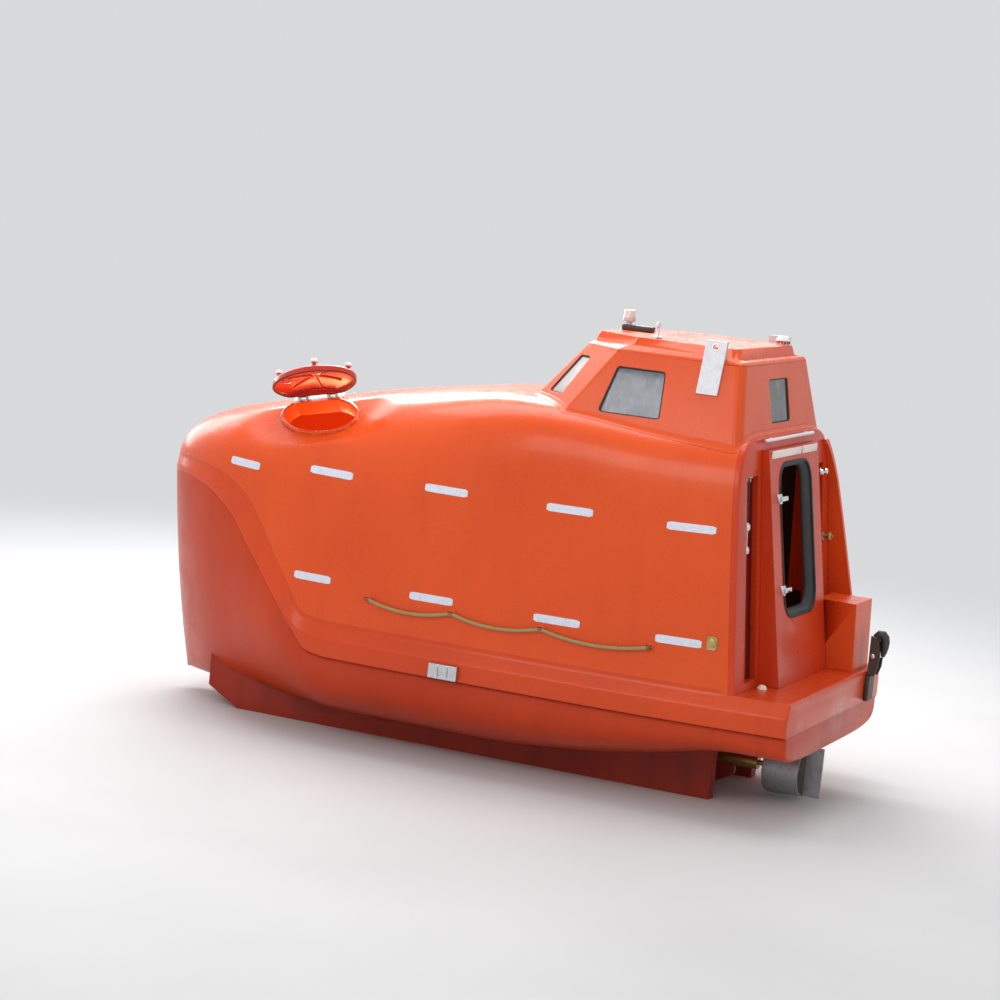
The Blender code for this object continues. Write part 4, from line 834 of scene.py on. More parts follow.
def band_half(s, draw):
    """Half of the band's section: a small cove at the canopy's foot, the ledge, the face and the foot."""
    edge = plan(s)
    side = edge - step_in(s)
    a = (side, top_line(s) - draw)
    b = (edge - draw, low_line(s))
    c = (edge - draw, foot_line(s) + SEAM)
    d = (max(edge * 0.4, edge - at_bow(s, 0.03, 0.0) - 0.02 - draw), foot_line(s) + SEAM)
    run = Vector((b[0] - a[0], b[1] - a[1]))
    cove = min(0.022 * ease((s - 0.38) / 0.08), run.length * 0.3)
    if cove > 0.001:
        foot = Vector(a) + run.normalized() * cove
        curve = bow_curve(Vector((side + 0.0004, a[1] + cove)), Vector(a), foot, 5)
        half = [(side - min(0.006, side * 0.4), a[1] + cove)] + [tuple(p) for p in curve]
    else:
        half = [tuple(Vector(a) + Vector((-0.006 + 0.001 * k, 0))) for k in range(6)] + [a]
    return (half + arc_corner(a, b, c, at_bow(s, 0.045, 0.02), 5)
            + arc_corner(b, c, d, at_bow(s, 0.012, 0.004), 4) + [d])


def hollow(stations, half_at):
    """A moulding lofted through its half sections, with the space inside the boat taken out."""
    skin = solid(loft([ring_at(s, half_at(s)) for s in stations], True))
    carve(skin, inner_body())
    return skin


# Gunwale band with rounded ledges, up over the bow and round the transom.
finish_solid(hollow(AFT + spaced(0.05, 1.0, 12) + MAIN, lambda s: band_half(s, stern_draw(s))),
             "gunwale_band", BAND, 34)

# Hull below the band, with the bore of the stern tube.
skin = hollow(AFT + spaced(0.05, 1.0, 14) + MAIN,
              lambda s: [(plan(s) - stern_draw(s) - 0.002, foot_line(s))] + belly(s, 0.0, stern_draw(s), 46))
TUBE_RADIUS = 0.0267
bm = bmesh.new()
bmesh.ops.create_cone(bm, cap_ends=True, segments=48, radius1=TUBE_RADIUS, radius2=TUBE_RADIUS, depth=0.35)
for v in bm.verts:
    v.co += at(0.28, 0, -0.425)
carve(skin, bm)
finish_solid(skin, "hull_shell", HULL, 34)

# Aft wall: a leaning plate with a rounded outer edge, cut for the door and the chain recesses.
OPENING_HALF = 0.46
OPENING_FOOT = 0.06
OPENING_HEAD = 1.40
OUTSIDE, INSIDE = 0.2, 0.8
RECESS_LOW = {1: 0.03, -1: 0.475}
RECESS_TOP = 1.34
RECESS_IN = 0.545
RECESS_OUT = 0.80
RECESS_DEEP = 0.12
RECESS_T = 0.022
rings = []
for back, draw in ((0.0, 0.014), (0.0022, 0.0065), (0.0075, 0.0020), (0.014, 0.0), (WALL_T - SEAM, 0.0)):
    rings.append(mirrored([(s, y, max(z, SEAM)) for s, y, z in on_plane(back, 60, draw)]))
skin = solid(loft(rings))
carve(skin, prism([(OUTSIDE, OPENING_FOOT), (OUTSIDE, OPENING_HEAD), (INSIDE, OPENING_HEAD),
                   (INSIDE, OPENING_FOOT)], "y", -OPENING_HALF, OPENING_HALF))
for side in (1, -1):
    foot = RECESS_LOW[side]
    behind = WALL_T - RECESS_T
    points = [(OUTSIDE, foot + RECESS_T), (aft_x(foot) + behind + RECESS_DEEP, foot + RECESS_T),
              (aft_x(RECESS_TOP) + behind + RECESS_DEEP * 0.55, RECESS_TOP - RECESS_T),
              (OUTSIDE, RECESS_TOP - RECESS_T)]
    carve(skin, prism(points, "y", *sorted((side * (RECESS_IN + RECESS_T), side * (RECESS_OUT - RECESS_T)))))
finish_solid(skin, "aft_wall", WALLRED, 30)

# Starboard cheek: the canopy's side run on aft of the wall.
skin = solid(loft([ring_at(s, crown(s, 0.0, 60)) for s in spaced(0.16, 0.62, 14)]))
carve(skin, inner_body())
carve(skin, prism([(0.225, 0.38), (0.415, 1.20), (aft_x(1.47) - 0.02, 1.47), (aft_x(1.47) - SEAM, 1.47),
                   (aft_x(0.38) - SEAM, 0.38)], "y", -1.3, -0.55), "INTERSECT")
finish_solid(skin, "cheek_starboard", ORANGE, 30)

# The aft deck fills the whole floor of the well between the band's sides.
half = [(s, plan(s) - step_in(s) - WALL + 0.012) for s in spaced(0.030, 0.62, 12) + [0.62]]
deck = prism(half + [(s, -y) for s, y in reversed(half)], "z", -0.045, -SEAM)
finish_solid(solid(deck), "aft_deck", BAND, 30)


def shade_inside(node, dark):
    """Give the faces that look into the cabin a near-black colour: painted shade standing for the dark cabin
    seen through the openings.
    """
    me = SKINS[node].data
    me.materials.append(SHADE_LINING)
    for poly in me.polygons:
        c = poly.center
        if dark(c.x - OX, c.y, c.z - OZ, poly.normal):
            poly.material_index = 1


# The cabin's inner faces take the near-black painted shade, not a colour of their own.
shade_inside("canopy_shell", lambda x, y, z, n: x < 2.35 and n.y * y + n.z * (z - 0.7) + n.x * 0.2 < -0.05)
shade_inside("hull_shell", lambda x, y, z, n: x < 2.35 and n.y * y + n.z * (z - 0.3) < -0.05)
shade_inside("gunwale_band",
            lambda x, y, z, n: 0.42 < x < 2.35 and n.y * y < -0.05 and z > -0.2 and abs(y) < 1.035)
shade_inside("aft_wall", lambda x, y, z, n: n.x > 0.3)
shade_inside("door_housing",
            lambda x, y, z, n: x > house_x(z) + 0.036 and 0.05 < z < 1.44 and abs(y) < 0.465)
for side, label in SIDES:
    shade_inside("niche_" + label, lambda x, y, z, n: x > aft_x(z) + WALL_T + 0.06 and n.x > 0.3)

# A wide rubber lip runs from the seal in to where the closed leaf lands on it. Its profile gives the share
# of the way in and the depth behind the housing's face; its edges give half width, foot, head and radius.
LIP_PROFILE = ((-0.06, 0.004), (0.5, 0.014), (0.9, 0.030), (1.0, 0.038), (1.0, 0.052), (0.96, 0.0585),
               (0.80, 0.0585), (0.55, 0.046), (-0.06, 0.026))
LIP_OUTER = (0.318, 0.417, 1.378, 0.136)
LIP_INNER = (0.247, 0.452, 1.343, 0.110)
bm = bmesh.new()
rings = []
for t, depth in LIP_PROFILE:
    wide, foot, head, radius = (a + (b - a) * t for a, b in zip(LIP_OUTER, LIP_INNER))
    ring = []
    for quarter, (y_sign, cz) in enumerate(((1, head - radius), (-1, head - radius),
                                            (-1, foot + radius), (1, foot + radius))):
        for i in range(11):
            a = math.radians(90 * quarter + 9 * i)
            y, z = y_sign * (wide - radius) + radius * math.cos(a), cz + radius * math.sin(a)
            ring.append(bm.verts.new(at(house_x(z) + depth, y, z)))
    rings.append(ring)
bridge(bm, rings + rings[:1])
finish_piece("door_lip", bm, BLACK, 50)

# Retro-reflective strips, bonded to the canopy sides.
canopy = surface("canopy_shell")


def outward(tree, origin, direction):
    """Where a ray meets a surface, with the surface's normal turned to face the ray."""
    point, n = tree.ray_cast(origin, direction)[:2]
    return point, (-n if n.dot(direction) > 0 else n)


def side_hit(x, side, z):
    """Where the canopy's side lies, and its normal, at a station and height."""
    return outward(canopy, at(x, side * 3.0, z), Y * -side)


TAPE_WIDTH = 0.05
TAPE_ROWS = 4


def tape(name, side, x0, x1, z0, z1):
    """A thin strip with rounded ends that follows the skin between two stations."""
    bm = bmesh.new()
    rings = []
    for i in range(15):
        s = i / 14
        pull = 0.007 * (1 - min(1.0, min(s, 1 - s) * abs(x1 - x0) / 0.009)) ** 2
        hits = []
        for k in range(TAPE_ROWS + 1):
            z = z0 + (z1 - z0) * s + (k / TAPE_ROWS - 0.5) * (TAPE_WIDTH - 2 * pull)
            hits.append(side_hit(x0 + (x1 - x0) * s, side, z))
        outer = [bm.verts.new(p + n * 0.0014) for p, n in hits]
        rings.append(outer + [bm.verts.new(p + n * 0.0003) for p, n in reversed(hits)])
    bridge(bm, rings)
    for ring in (rings[0], rings[-1]):
        for k in range(TAPE_ROWS):
            bm.faces.new((ring[k], ring[k + 1], ring[-k - 2], ring[-k - 1]))
    finish_piece(name, bm, TAPE, 60)


# Each strip's two stations and the heights of its middle there.
STRIPS = [(3.817, 4.074, 0.938, 0.946), (3.107, 3.425, 0.972, 0.980), (2.255, 2.557, 0.986, 0.988),
          (1.397, 1.708, 0.986, 0.984), (0.595, 0.910, 0.990, 0.982), (3.163, 3.438, 0.287, 0.290),
          (2.273, 2.578, 0.287, 0.287), (1.398, 1.711, 0.284, 0.283), (0.600, 0.897, 0.283, 0.280)]
for side, label in SIDES:
    for i, strip in enumerate(STRIPS):
        tape("tape_%s_%d" % (label, i + 1), side, *strip)

# Grab lines: three-strand rope in shallow bights over the canopy's bosses.
KNOTS = [2.87, 2.27, 1.65, 0.92]
ROPE_Z = 0.218
ROPE_OFF = 0.0245
ROPE_RADIUS = 0.0108
ROPE_SAG = 0.045
ROPE_LAY = 0.075


def rope_path(side):
    """The rope's middle line, along the same route as its CAD solid."""
    places = []
    for a, b in zip(KNOTS, KNOTS[1:]):
        for i in range(40):
            t = i / 40
            places.append((a + (b - a) * t, ROPE_Z - ROPE_SAG * 4 * t * (1 - t)))
    places.append((KNOTS[-1], ROPE_Z))
    return [at(x, side_hit(x, side, z + 0.001)[0].y + side * ROPE_OFF, z) for x, z in places]


def smooth_path(pts, rounds=3):
    """The same path with its inner points drawn towards their neighbours."""
    for _ in range(rounds):
        pts = [pts[0]] + [(a + b * 2 + c) / 4 for a, b, c in zip(pts, pts[1:], pts[2:])] + [pts[-1]]
    return pts


def path_length(pts):
    return sum((b - a).length for a, b in zip(pts, pts[1:]))


def rope(name, pts):
    """Three strands twisted round a path."""
    total = path_length(pts)
    count = int(total / 0.0065)
    run = [0.0]
    for a, b in zip(pts, pts[1:]):
        run.append(run[-1] + (b - a).length)
    marks = [total * i / count for i in range(count + 1)]
    fine = []
    j = 0
    for d in marks:
        while j < len(run) - 2 and run[j + 1] < d:
            j += 1
        t = (d - run[j]) / max(1e-9, run[j + 1] - run[j])
        fine.append(pts[j].lerp(pts[j + 1], min(1.0, max(0.0, t))))
    bm = bmesh.new()
    strand = ROPE_RADIUS * 0.52
    radii = [strand * (0.72 + 0.28 * min(1.0, min(d, total - d) / 0.02)) for d in marks]
    for s in range(3):
        line = []
        for d, p, (t, u, v) in zip(marks, fine, frames(fine)):
            a = 2 * math.pi * (s / 3 + d / ROPE_LAY)
            line.append(p + (u * math.cos(a) + v * math.sin(a)) * (ROPE_RADIUS - strand))
        add_tube(bm, line, radii, 8)
    return finish_piece(name, bm, ROPE, 70)


for side, label in SIDES:
    path = smooth_path(rope_path(side))
    line = rope("rope_" + label, path)
    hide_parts("grab_line_" + label)
    turns = []
    for x in KNOTS:
        mid = at(x, side_hit(x, side, ROPE_Z)[0].y + side * ROPE_OFF, ROPE_Z)
        turns += [ring_points(mid + X * off, Y, Z + X / 3, 0.0120, 16) for off in (-0.012, 0.0, 0.012)]
    whipping = tube_piece("rope_whipping_" + label, BLACK, turns, 0.0016, 6, True)

# Rope bosses on the canopy.
BOSS = [(0.029, 0.0), (0.029, 0.0055), (0.0265, 0.0085), (0.0185, 0.011), (0.0158, 0.0145), (0.0158, 0.0185),
        (0.0140, 0.0195)]
for side, label in SIDES:
    hits = [side_hit(x, side, ROPE_Z) for x in KNOTS]
    bosses = turned_piece("rope_bosses_" + label, ORANGE, [(p - n * 0.004, n) for p, n in hits], BOSS, 28, 50)
    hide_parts("canopy_shell")

# A small moulded cove round the cab's foot.
COVE = 0.026
skin_trees = (canopy, surface("aft_wall"))


def cab_plan(z):
    """The cab's outline at a height, port side first, with rounded corners."""
    aft, side_end, half, front, front_half = cab_ring(z)
    port = [(front, front_half), (side_end, half), (aft, half)]
    corners = port + [(x, -y) for x, y in reversed(port)]
    out = []
    for i, corner in enumerate(corners):
        radius = 0.06 if corner[0] == aft else 0.03
        out += arc_corner(corners[i - 1], corner, corners[(i + 1) % len(corners)], radius)
    return [Vector(p) for p in out]


def top_hit(x, y):
    """Height of the canopy or of the aft wall's top edge at a point."""
    hits = [tree.ray_cast(Vector((x + OX, y, 4.0)), -Z)[0] for tree in skin_trees]
    return max((hit.z - OZ for hit in hits if hit is not None), default=None)


def cab_point(mark, z):
    """A point of the cab's outline: the corner that it follows, the share of the way on, and the height."""
    ring = cab_plan(z)
    p = ring[mark[0]].lerp(ring[(mark[0] + 1) % len(ring)], mark[1])
    return Vector((p.x, p.y, z))


base = cab_plan(1.6)
marks = []
for i, p in enumerate(base):
    count = max(1, round((base[(i + 1) % len(base)] - p).length / 0.03))
    marks += [(i, k / count) for k in range(count)]
foot_points = []
for mark in marks:
    z = 1.6
    for _ in range(5):
        p = cab_point(mark, z)
        found = top_hit(p.x, p.y)
        z = z if found is None else found
    foot_points.append(cab_point(mark, z))
bm = bmesh.new()
rings = []
for i, (mark, p) in enumerate(zip(marks, foot_points)):
    along = foot_points[(i + 1) % len(foot_points)] - foot_points[i - 1]
    out = Vector((along.y, -along.x, 0)).normalized()
    if out.dot(Vector((p.x - 1.3, p.y, 0))) < 0:
        out = -out
    reach = COVE
    found = top_hit(p.x + out.x * reach, p.y + out.y * reach)
    while (found is None or abs(found - p.z) > 0.09) and reach > 0.004:
        reach -= 0.004
        found = top_hit(p.x + out.x * reach, p.y + out.y * reach)
    foot = Vector((p.x + out.x * reach, p.y + out.y * reach, p.z if found is None else found))
    ring = [q + (out + Z) * 0.0003 for q in bow_curve(cab_point(mark, p.z + COVE), p, foot, 6)]
    ring.append(p - out * 0.008 - Z * 0.006)
    rings.append([bm.verts.new(at(*q)) for q in ring])
bridge(bm, rings + rings[:1])
cove = finish_piece("cab_cove", bm, ORANGE, 50)
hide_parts("cab_shell")


# Window rims: a black sealing bead on each side of every pane.
def outline_of(node):
    """The pane's outer outline in order, its middle and its outward normal."""
    me = NODES[node].data
    unique = []
    for p in [v.co.copy() for v in me.vertices]:
        if all((p - q).length > 0.0002 for q in unique):
            unique.append(p)
    mid = sum(unique, Vector()) / len(unique)
    n = max(me.polygons, key=lambda poly: poly.area).normal.copy()
    if n.dot(mid - at(1.25, 0, 1.65)) < 0:
        n = -n
    outer = [p for p in unique if (p - mid).dot(n) > 0]
    u = (Z - n * n.z).normalized()
    v = n.cross(u)
    outer.sort(key=lambda p: math.atan2((p - mid).dot(v), (p - mid).dot(u)))
    return outer, sum(outer, Vector()) / len(outer), n


for place in ("port", "starboard", "front", "aft", "quarter_port", "quarter_starboard"):
    node = "cab_window_" + place
    ring, mid, n = outline_of(node)
    beads = []
    for depth in (0.0028, -0.0108):
        bead = [p + (mid - p).normalized() * 0.0052 + n * depth for p in ring]
        dense = []
        for a, b in zip(bead, bead[1:] + bead[:1]):
            steps = max(1, int((b - a).length / 0.03))
            dense += [a.lerp(b, k / steps) for k in range(steps)]
        beads.append(dense)
    tube_piece("rim_" + node, BLACK, beads, 0.0050, 8, True)


# Lifting chains: end shackles, links and an open turnbuckle.
def add_link(bm, centre, along, cross, length, width, wire):
    """One oval chain link."""
    cross = (cross - along * cross.dot(along)).normalized()
    straight = length / 2 - width / 2
    bend = width / 2 - wire
    pts = []
    for end in (1, -1):
        for k in range(9):
            a = math.pi * k / 8 - math.pi / 2
            out = straight + math.cos(a) * bend
            pts.append(centre + along * end * out + cross * end * math.sin(a) * bend)
    add_tube(bm, pts, wire, 8, True)


CHAIN_Y = 0.672
CHAIN_END = 0.0223
PITCH = 0.0225
SCREW_Z = (0.84, 1.02)
SCREW_NUT = [(0.008, -0.012), (0.016, -0.004), (0.0225, 0.004), (0.0235, 0.026), (0.0170, 0.040),
             (0.0100, 0.046)]
SHACKLE_FOOT = [(0.0212, 0.0), (0.0212, 0.006), (0.0165, 0.0095), (0.011, 0.010)]
for side, label in SIDES:
    low_z = RECESS_LOW[side] + CHAIN_END
    top_z = RECESS_TOP - CHAIN_END
    foot = at(aft_x(low_z) + 0.072, side * CHAIN_Y, low_z + 0.02)
    head = at(aft_x(top_z) + 0.023, side * CHAIN_Y, top_z - 0.02)
    run = head - foot
    along = run.normalized()
    screw_low, screw_top = (foot.lerp(head, (z + OZ - foot.z) / run.z) for z in SCREW_Z)
    bm = bmesh.new()
    for a, b in ((foot + along * 0.012, screw_low - along * 0.006),
                 (screw_top + along * 0.006, head - along * 0.012)):
        length = (b - a).length
        count = max(2, round(length / PITCH))
        for i in range(count):
            add_link(bm, a + (b - a) * ((i + 0.5) / count), along, X if i % 2 else Y, length / count + 0.0072,
                     0.0172, 0.0026)
    chain = finish_piece("chain_links_" + label, bm, DARKSTEEL, 80)
    bm = bmesh.new()
    beside = along.cross(X).normalized() * 0.0125
    for s in (-1, 1):
        bar = [screw_low + along * 0.018 + beside * s, screw_top - along * 0.018 + beside * s]
        add_tube(bm, bar, 0.0046, 10)
    for end, s in ((screw_low, 1), (screw_top, -1)):
        add_turned(bm, end, along * s, SCREW_NUT, 24)
        thread = [end + along * s * (0.006 + 0.060 * i / 60) for i in range(61)]
        add_tube(bm, thread, [0.0050 + 0.0010 * (i % 2) for i in range(61)], 10)
    screw = finish_piece("turnbuckle_" + label, bm, CHROME)
    bm = bmesh.new()
    for end, s in ((foot, -1), (head, 1)):
        base = end + Z * s * 0.0195
        add_turned(bm, base, Z * -s, SHACKLE_FOOT, 24)
        add_link(bm, end + along * -s * 0.002, along, X, 0.034, 0.026, 0.0042)
        for p in ring_points(base - Z * s * 0.0075, X, Y, 0.0162, 3):
            add_bolt(bm, p, Z * -s, 0.0028)
    shackle = finish_piece("chain_ends_" + label, bm, STEEL)
    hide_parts("lifting_chain_" + label)
    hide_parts("lifting_chain_" + label)
    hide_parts("lifting_chain_" + label)

# Hatch lid: seal, inside ribs, white clamp caps, inner grips and hinge screws.
HINGE = Vector((1.21851, 0.41113, 2.2215))
SWING = Matrix.Rotation(math.radians(55), 4, HATCH_U)
OPEN = Matrix.Translation(HINGE) @ SWING @ Matrix.Translation(-HINGE)
LID_NORMAL = OPEN.to_3x3() @ HATCH_N
LID_FACE = 0.018
CLAMP_CAP = [(0.0228, 0.0372), (0.0242, 0.041), (0.0246, 0.052), (0.0215, 0.0600), (0.012, 0.0632),
             (0.0, 0.0638)]


def on_hatch(u, v, n):
    """A point by the hatch's own axes."""
    return at(*HATCH_MID) + HATCH_U * u + HATCH_V * v + HATCH_N * n


def on_lid(u, v, n):
    """The same point carried by the open lid."""
    return OPEN @ on_hatch(u, v, n)


def lid_under(share):
    """Height of the lid's inside over the hatch at a share of the way out."""
    return LID_FACE + 0.015 + 0.05 * (1 - share ** 2)


edge = [oval(0.0385, 2 * math.pi * i / 96) for i in range(96)]
tube_piece("hatch_seal", BLACK, [[on_lid(u, max(v, -0.192), 0.0172) for u, v in edge]], 0.0042, 8, True,
           body="hatch_lid")
ribs = []
for a0 in (0.35, 1.35, 2.4):
    pts = []
    for i in range(17):
        share = -0.72 + 1.44 * i / 16
        u, v = oval(0.028, a0 if share > 0 else a0 + math.pi, abs(share))
        if v >= -0.165:
            pts.append(on_lid(u, v, lid_under(abs(share)) - 0.003))
    ribs.append(pts)
tube_piece("hatch_ribs", ORANGE, ribs, 0.009, 10, body="hatch_lid")
clamps = ((-0.10, 0.19), (0.235, 0.055), (-0.285, 0.06))
turned_piece("hatch_clamp_caps", WHITE, [(on_lid(u, v, LID_FACE + 0.036), LID_NORMAL) for u, v in clamps],
             CLAMP_CAP, body="hatch_lid")
grips = []
for u, v in ((-0.10, 0.14), (0.18, 0.03)):
    a, b, c, d = (on_lid(u + off, v, lid_under(0.75) - down)
                  for off, down in ((-0.03, 0.004), (-0.03, 0.026), (0.03, 0.026), (0.03, 0.004)))
    grips.append(smooth_path([a, a.lerp(b, 0.5), b, b.lerp(c, 0.5), c, d.lerp(c, 0.5), d], 1))
tube_piece("hatch_inner_grips", CHROME, grips, 0.0048, 10, body="hatch_lid")
bm = bmesh.new()
for u in (-0.16, -0.07, 0.02, 0.11, 0.20, 0.255):
    add_bolt(bm, on_hatch(u, -0.247, 0.0045), HATCH_N, 0.0052)
finish_piece("hatch_hinge_screws", bm, STEEL)
lip = [oval(0.014, -0.95 + (math.pi + 1.9) * i / 96) for i in range(97)]
tube_piece("hatch_lip", ORANGE, [[on_hatch(u, v, 0.0122) for u, v in lip if v > -0.178]], 0.0035, 8)

# Fittings of the aft wall and the deck: a cleat, a valve and a drain.
WALL_OUT = (-1, 0, 0.1)
CLEAT_Z = 1.264
CLEAT = [(0.022, 0.0), (0.022, 0.006), (0.012, 0.010), (0.010, 0.026), (0.016, 0.032), (0.021, 0.042),
         (0.017, 0.054), (0.0, 0.058)]
VALVE_Z = 0.825
VALVE = [(0.030, 0.0), (0.030, 0.005), (0.024, 0.010), (0.017, 0.012), (0.015, 0.034), (0.026, 0.038),
         (0.028, 0.050), (0.022, 0.058), (0.008, 0.060), (0.008, 0.070), (0.0, 0.072)]
DRAIN = [(0.032, 0.0), (0.030, 0.010), (0.022, 0.022), (0.016, 0.026), (0.012, 0.020), (0.0, 0.018)]
bm = bmesh.new()
for y in (-0.60, -0.70):
    add_turned(bm, at(aft_x(CLEAT_Z) - 0.0004, y, CLEAT_Z), WALL_OUT, CLEAT, 24)
add_tube(bm, [at(aft_x(CLEAT_Z) - 0.040, y, CLEAT_Z) for y in (-0.575, -0.725)], 0.0075, 14)
finish_piece("stern_cleat", bm, CHROME)
turned_piece("stern_valve", BRASS, [(at(aft_x(VALVE_Z) - 0.0004, -0.792, VALVE_Z), WALL_OUT)], VALVE, 28)
deck_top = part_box("aft_deck")[1].z
turned_piece("deck_drain", PALE_AND_HIGHLIGHT, [(Vector((0.305 + OX, 0.600, deck_top + 0.0002)), Z)], DRAIN, 28)

# Square side fitting, and the bolts and pad of the gunwale bracket.
BOLT_HEAD = [(0.0085, 0.0), (0.0085, 0.0098), (0.006, 0.0100)]
SOCKET = [(0.027, 0.0), (0.027, 0.004), (0.021, 0.0075), (0.014, 0.0065), (0.009, 0.008), (0.0, 0.0085)]
for side, label in SIDES:
    p, n = side_hit(0.535, side, 0.301)
    up = (Z - n * n.z).normalized()
    level = up.cross(n).normalized()
    bm = bmesh.new()
    add_box(bm, p + n * 0.0023, (0.033, 0.042, 0.0020), 0.0015, (level, up, n))
    add_turned(bm, p + n * 0.004, n, SOCKET, 28)
    for a in (-0.026, 0.026):
        for b in (-0.035, 0.035):
            add_bolt(bm, p + n * 0.004 + level * a + up * b, n, 0.0036)
    finish_piece("side_fitting_" + label, bm, BRASS)
    lo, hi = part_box("gunwale_bracket_" + label)
    face = hi.y if side > 0 else lo.y
    mid = (lo + hi) / 2
    bolts = [(Vector((mid.x + dx, face - side * 0.0102, mid.z + dz)), Y * side)
             for dx in (-0.078, 0.078) for dz in (-0.028, 0.028)]
    turned_piece("bracket_bolts_" + label, CHROME, bolts, BOLT_HEAD, 6)
    bm = bmesh.new()
    pad = Vector((mid.x - 0.004, face - side * 0.0048, mid.z))
    add_box(bm, pad, (0.034, 0.030, 0.0046), 0.003, (X, Z, Y))
    finish_piece("bracket_pad_" + label, bm, BLACK)

# Stern hook: a forged claw between two cheeks on its bracket, with a bright pin.
HOOK_Y = -0.70
CLAW = [(-0.019, -0.028), (-0.019, 0.06), (-0.019, 0.14), (-0.022, 0.20), (-0.032, 0.238), (-0.052, 0.256),
        (-0.076, 0.254), (-0.094, 0.236), (-0.100, 0.205), (-0.098, 0.165), (-0.092, 0.130), (-0.084, 0.104)]
CLAW_RADII = [0.0215, 0.022, 0.024, 0.027, 0.029, 0.030, 0.030, 0.029, 0.027, 0.024, 0.021, 0.015]
CHEEK = [(-0.006, -0.028), (-0.056, -0.028), (-0.074, 0.030), (-0.078, 0.110), (-0.066, 0.190),
         (-0.040, 0.232), (-0.006, 0.236)]
CHEEK_MID = Vector((-0.033, 0.065))
HOOK_PIN = [(0.010, 0.0), (0.0165, 0.002), (0.0165, 0.010), (0.011, 0.0125), (0.011, 0.1155), (0.0165, 0.118),
            (0.0165, 0.126), (0.010, 0.128)]
HOOK_STUD = [(0.019, -0.010), (0.021, 0.004), (0.021, 0.016), (0.016, 0.021), (0.008, 0.022), (0.0, 0.022)]
claw = smooth_path([at(x, HOOK_Y, z) for x, z in CLAW], 2)
claw_piece = tube_piece("stern_claw", BLACKPAINT, [claw], CLAW_RADII, 20, angle=50)
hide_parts("stern_hook")
bm = bmesh.new()
for y in (HOOK_Y - 0.042, HOOK_Y + 0.042):
    rings = []
    for off, draw in ((-0.007, 0.003), (-0.004, 0.0), (0.004, 0.0), (0.007, 0.003)):
        ring = []
        for corner in CHEEK:
            away = Vector(corner) - CHEEK_MID
            away += CHEEK_MID - away.normalized() * draw
            ring.append(bm.verts.new(at(away.x, y + off, away.y)))
        rings.append(ring)
    bridge(bm, rings, capped=True)
cheeks = finish_piece("stern_hook_cheeks", bm, DARKSTEEL)
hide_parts("stern_hook")
bm = bmesh.new()
add_turned(bm, at(-0.033, HOOK_Y - 0.064, 0.105), Y, HOOK_PIN, 24)
add_turned(bm, at(-0.058, HOOK_Y, 0.115), -X, HOOK_STUD, 24)
pin = finish_piece("stern_hook_pin", bm, CHROME)
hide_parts("stern_hook")

# Roof fittings: dark foot, clear lens and cage of the mast light, louvres of the vent, the lifting eyes.
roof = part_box("mast_light")[0].z
lamp_at = Vector((1.67 + OX, 0, roof))
LENS_RADIUS = 0.0412
LENS_STEPS = [math.pi / 2 * k / 8 for k in range(9)]
bm = bmesh.new()
add_box(bm, Vector((1.60 + OX, 0, roof + 0.0182)), (0.1012, 0.0462, 0.0180), 0.006)
finish_piece("mast_light_foot", bm, BLACKPAINT)
dome = [(LENS_RADIUS * math.cos(a), 0.030 + 0.0415 * math.sin(a)) for a in LENS_STEPS]
turned_piece("mast_light_lens", LENS, [(lamp_at + Z * 0.056, Z)],
             [(0.030, 0.0), (0.0408, 0.006), (LENS_RADIUS, 0.020)] + dome, 32, 50)
cage = [ring_points(lamp_at + Z * (0.062 + 0.0075 * k), X, Y, 0.0418, 24) for k in range(4)]
tube_piece("mast_light_cage", CHROME, cage, 0.0016, 6, True)
lo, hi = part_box("roof_dome")
vent = Vector(((lo.x + hi.x) / 2, (lo.y + hi.y) / 2, lo.z + 0.017))
bm = bmesh.new()
for radial in ring_points(Vector(), X, Y, 1.0, 14):
    add_box(bm, vent + radial * 0.0448, (0.0012, 0.0060, 0.0085), 0.0006, (radial, Z.cross(radial), Z))
# The louvres take the darker red of painted shade.
finish_piece("vent_louvres", bm, SHADED_RED)
EYE_RADIUS = 0.0212
PLATE_BEND_Z = 2.121
for side, label in SIDES:
    ring = []
    for p in ring_points(at(0.835, 0, 2.081), X, Z, EYE_RADIUS, 32):
        lean = 0.020 * min(1.0, max(0.0, (PLATE_BEND_Z + OZ - p.z) / 0.08))
        ring.append(Vector((p.x, side * (0.630 + lean + 0.0004), p.z)))
    tube_piece("lifting_eye_" + label, CHROME, [ring], 0.0034, 8, True)

# Pale bars over the door: a painted highlight, standing for light on the housing's top ledge.
lo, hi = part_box("door_housing")
housing = surface("door_housing")
bm = bmesh.new()
for y0, y1 in ((0.46, -0.12), (-0.15, -0.45)):
    mid = Vector((lo.x - 1.0, (y0 + y1) / 2, hi.z - 0.03))
    face = outward(housing, mid, X)[0]
    add_box(bm, Vector((face.x - 0.0062, mid.y, mid.z)), (0.0060, abs(y0 - y1) / 2, 0.024), 0.004)
finish_piece("ledge_highlight_bars", bm, PALE_AND_HIGHLIGHT)

# Seat harnesses: two straps over each of five places a side.
PLACES = 5
for side, label in SIDES:
    node = "seats_" + label
    lo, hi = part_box(node)
    tree = surface(node)
    inboard = lo.y if side > 0 else hi.y
    bm = bmesh.new()
    for k in range(PLACES):
        for off in (-0.10, 0.10):
            x = lo.x + (hi.x - lo.x) * (k + 0.5) / PLACES + off
            line = []
            for i in range(11):
                y = inboard + side * (0.03 + (hi.y - lo.y - 0.10) * i / 10)
                hit = tree.ray_cast(Vector((x, y, hi.z + 0.5)), -Z)[0]
                if hit is not None:
                    line.append(hit + Z * 0.004)
            for a, b in zip(line, line[1:]):
                if (b - a).length < 0.25:
                    t = (b - a).normalized()
                    half = ((b - a).length / 2 + 0.001, 0.022, 0.0012)
                    add_box(bm, (a + b) / 2, half, 0.0, (t, X, t.cross(X)))
    finish_piece("harness_" + node, bm, WEB)

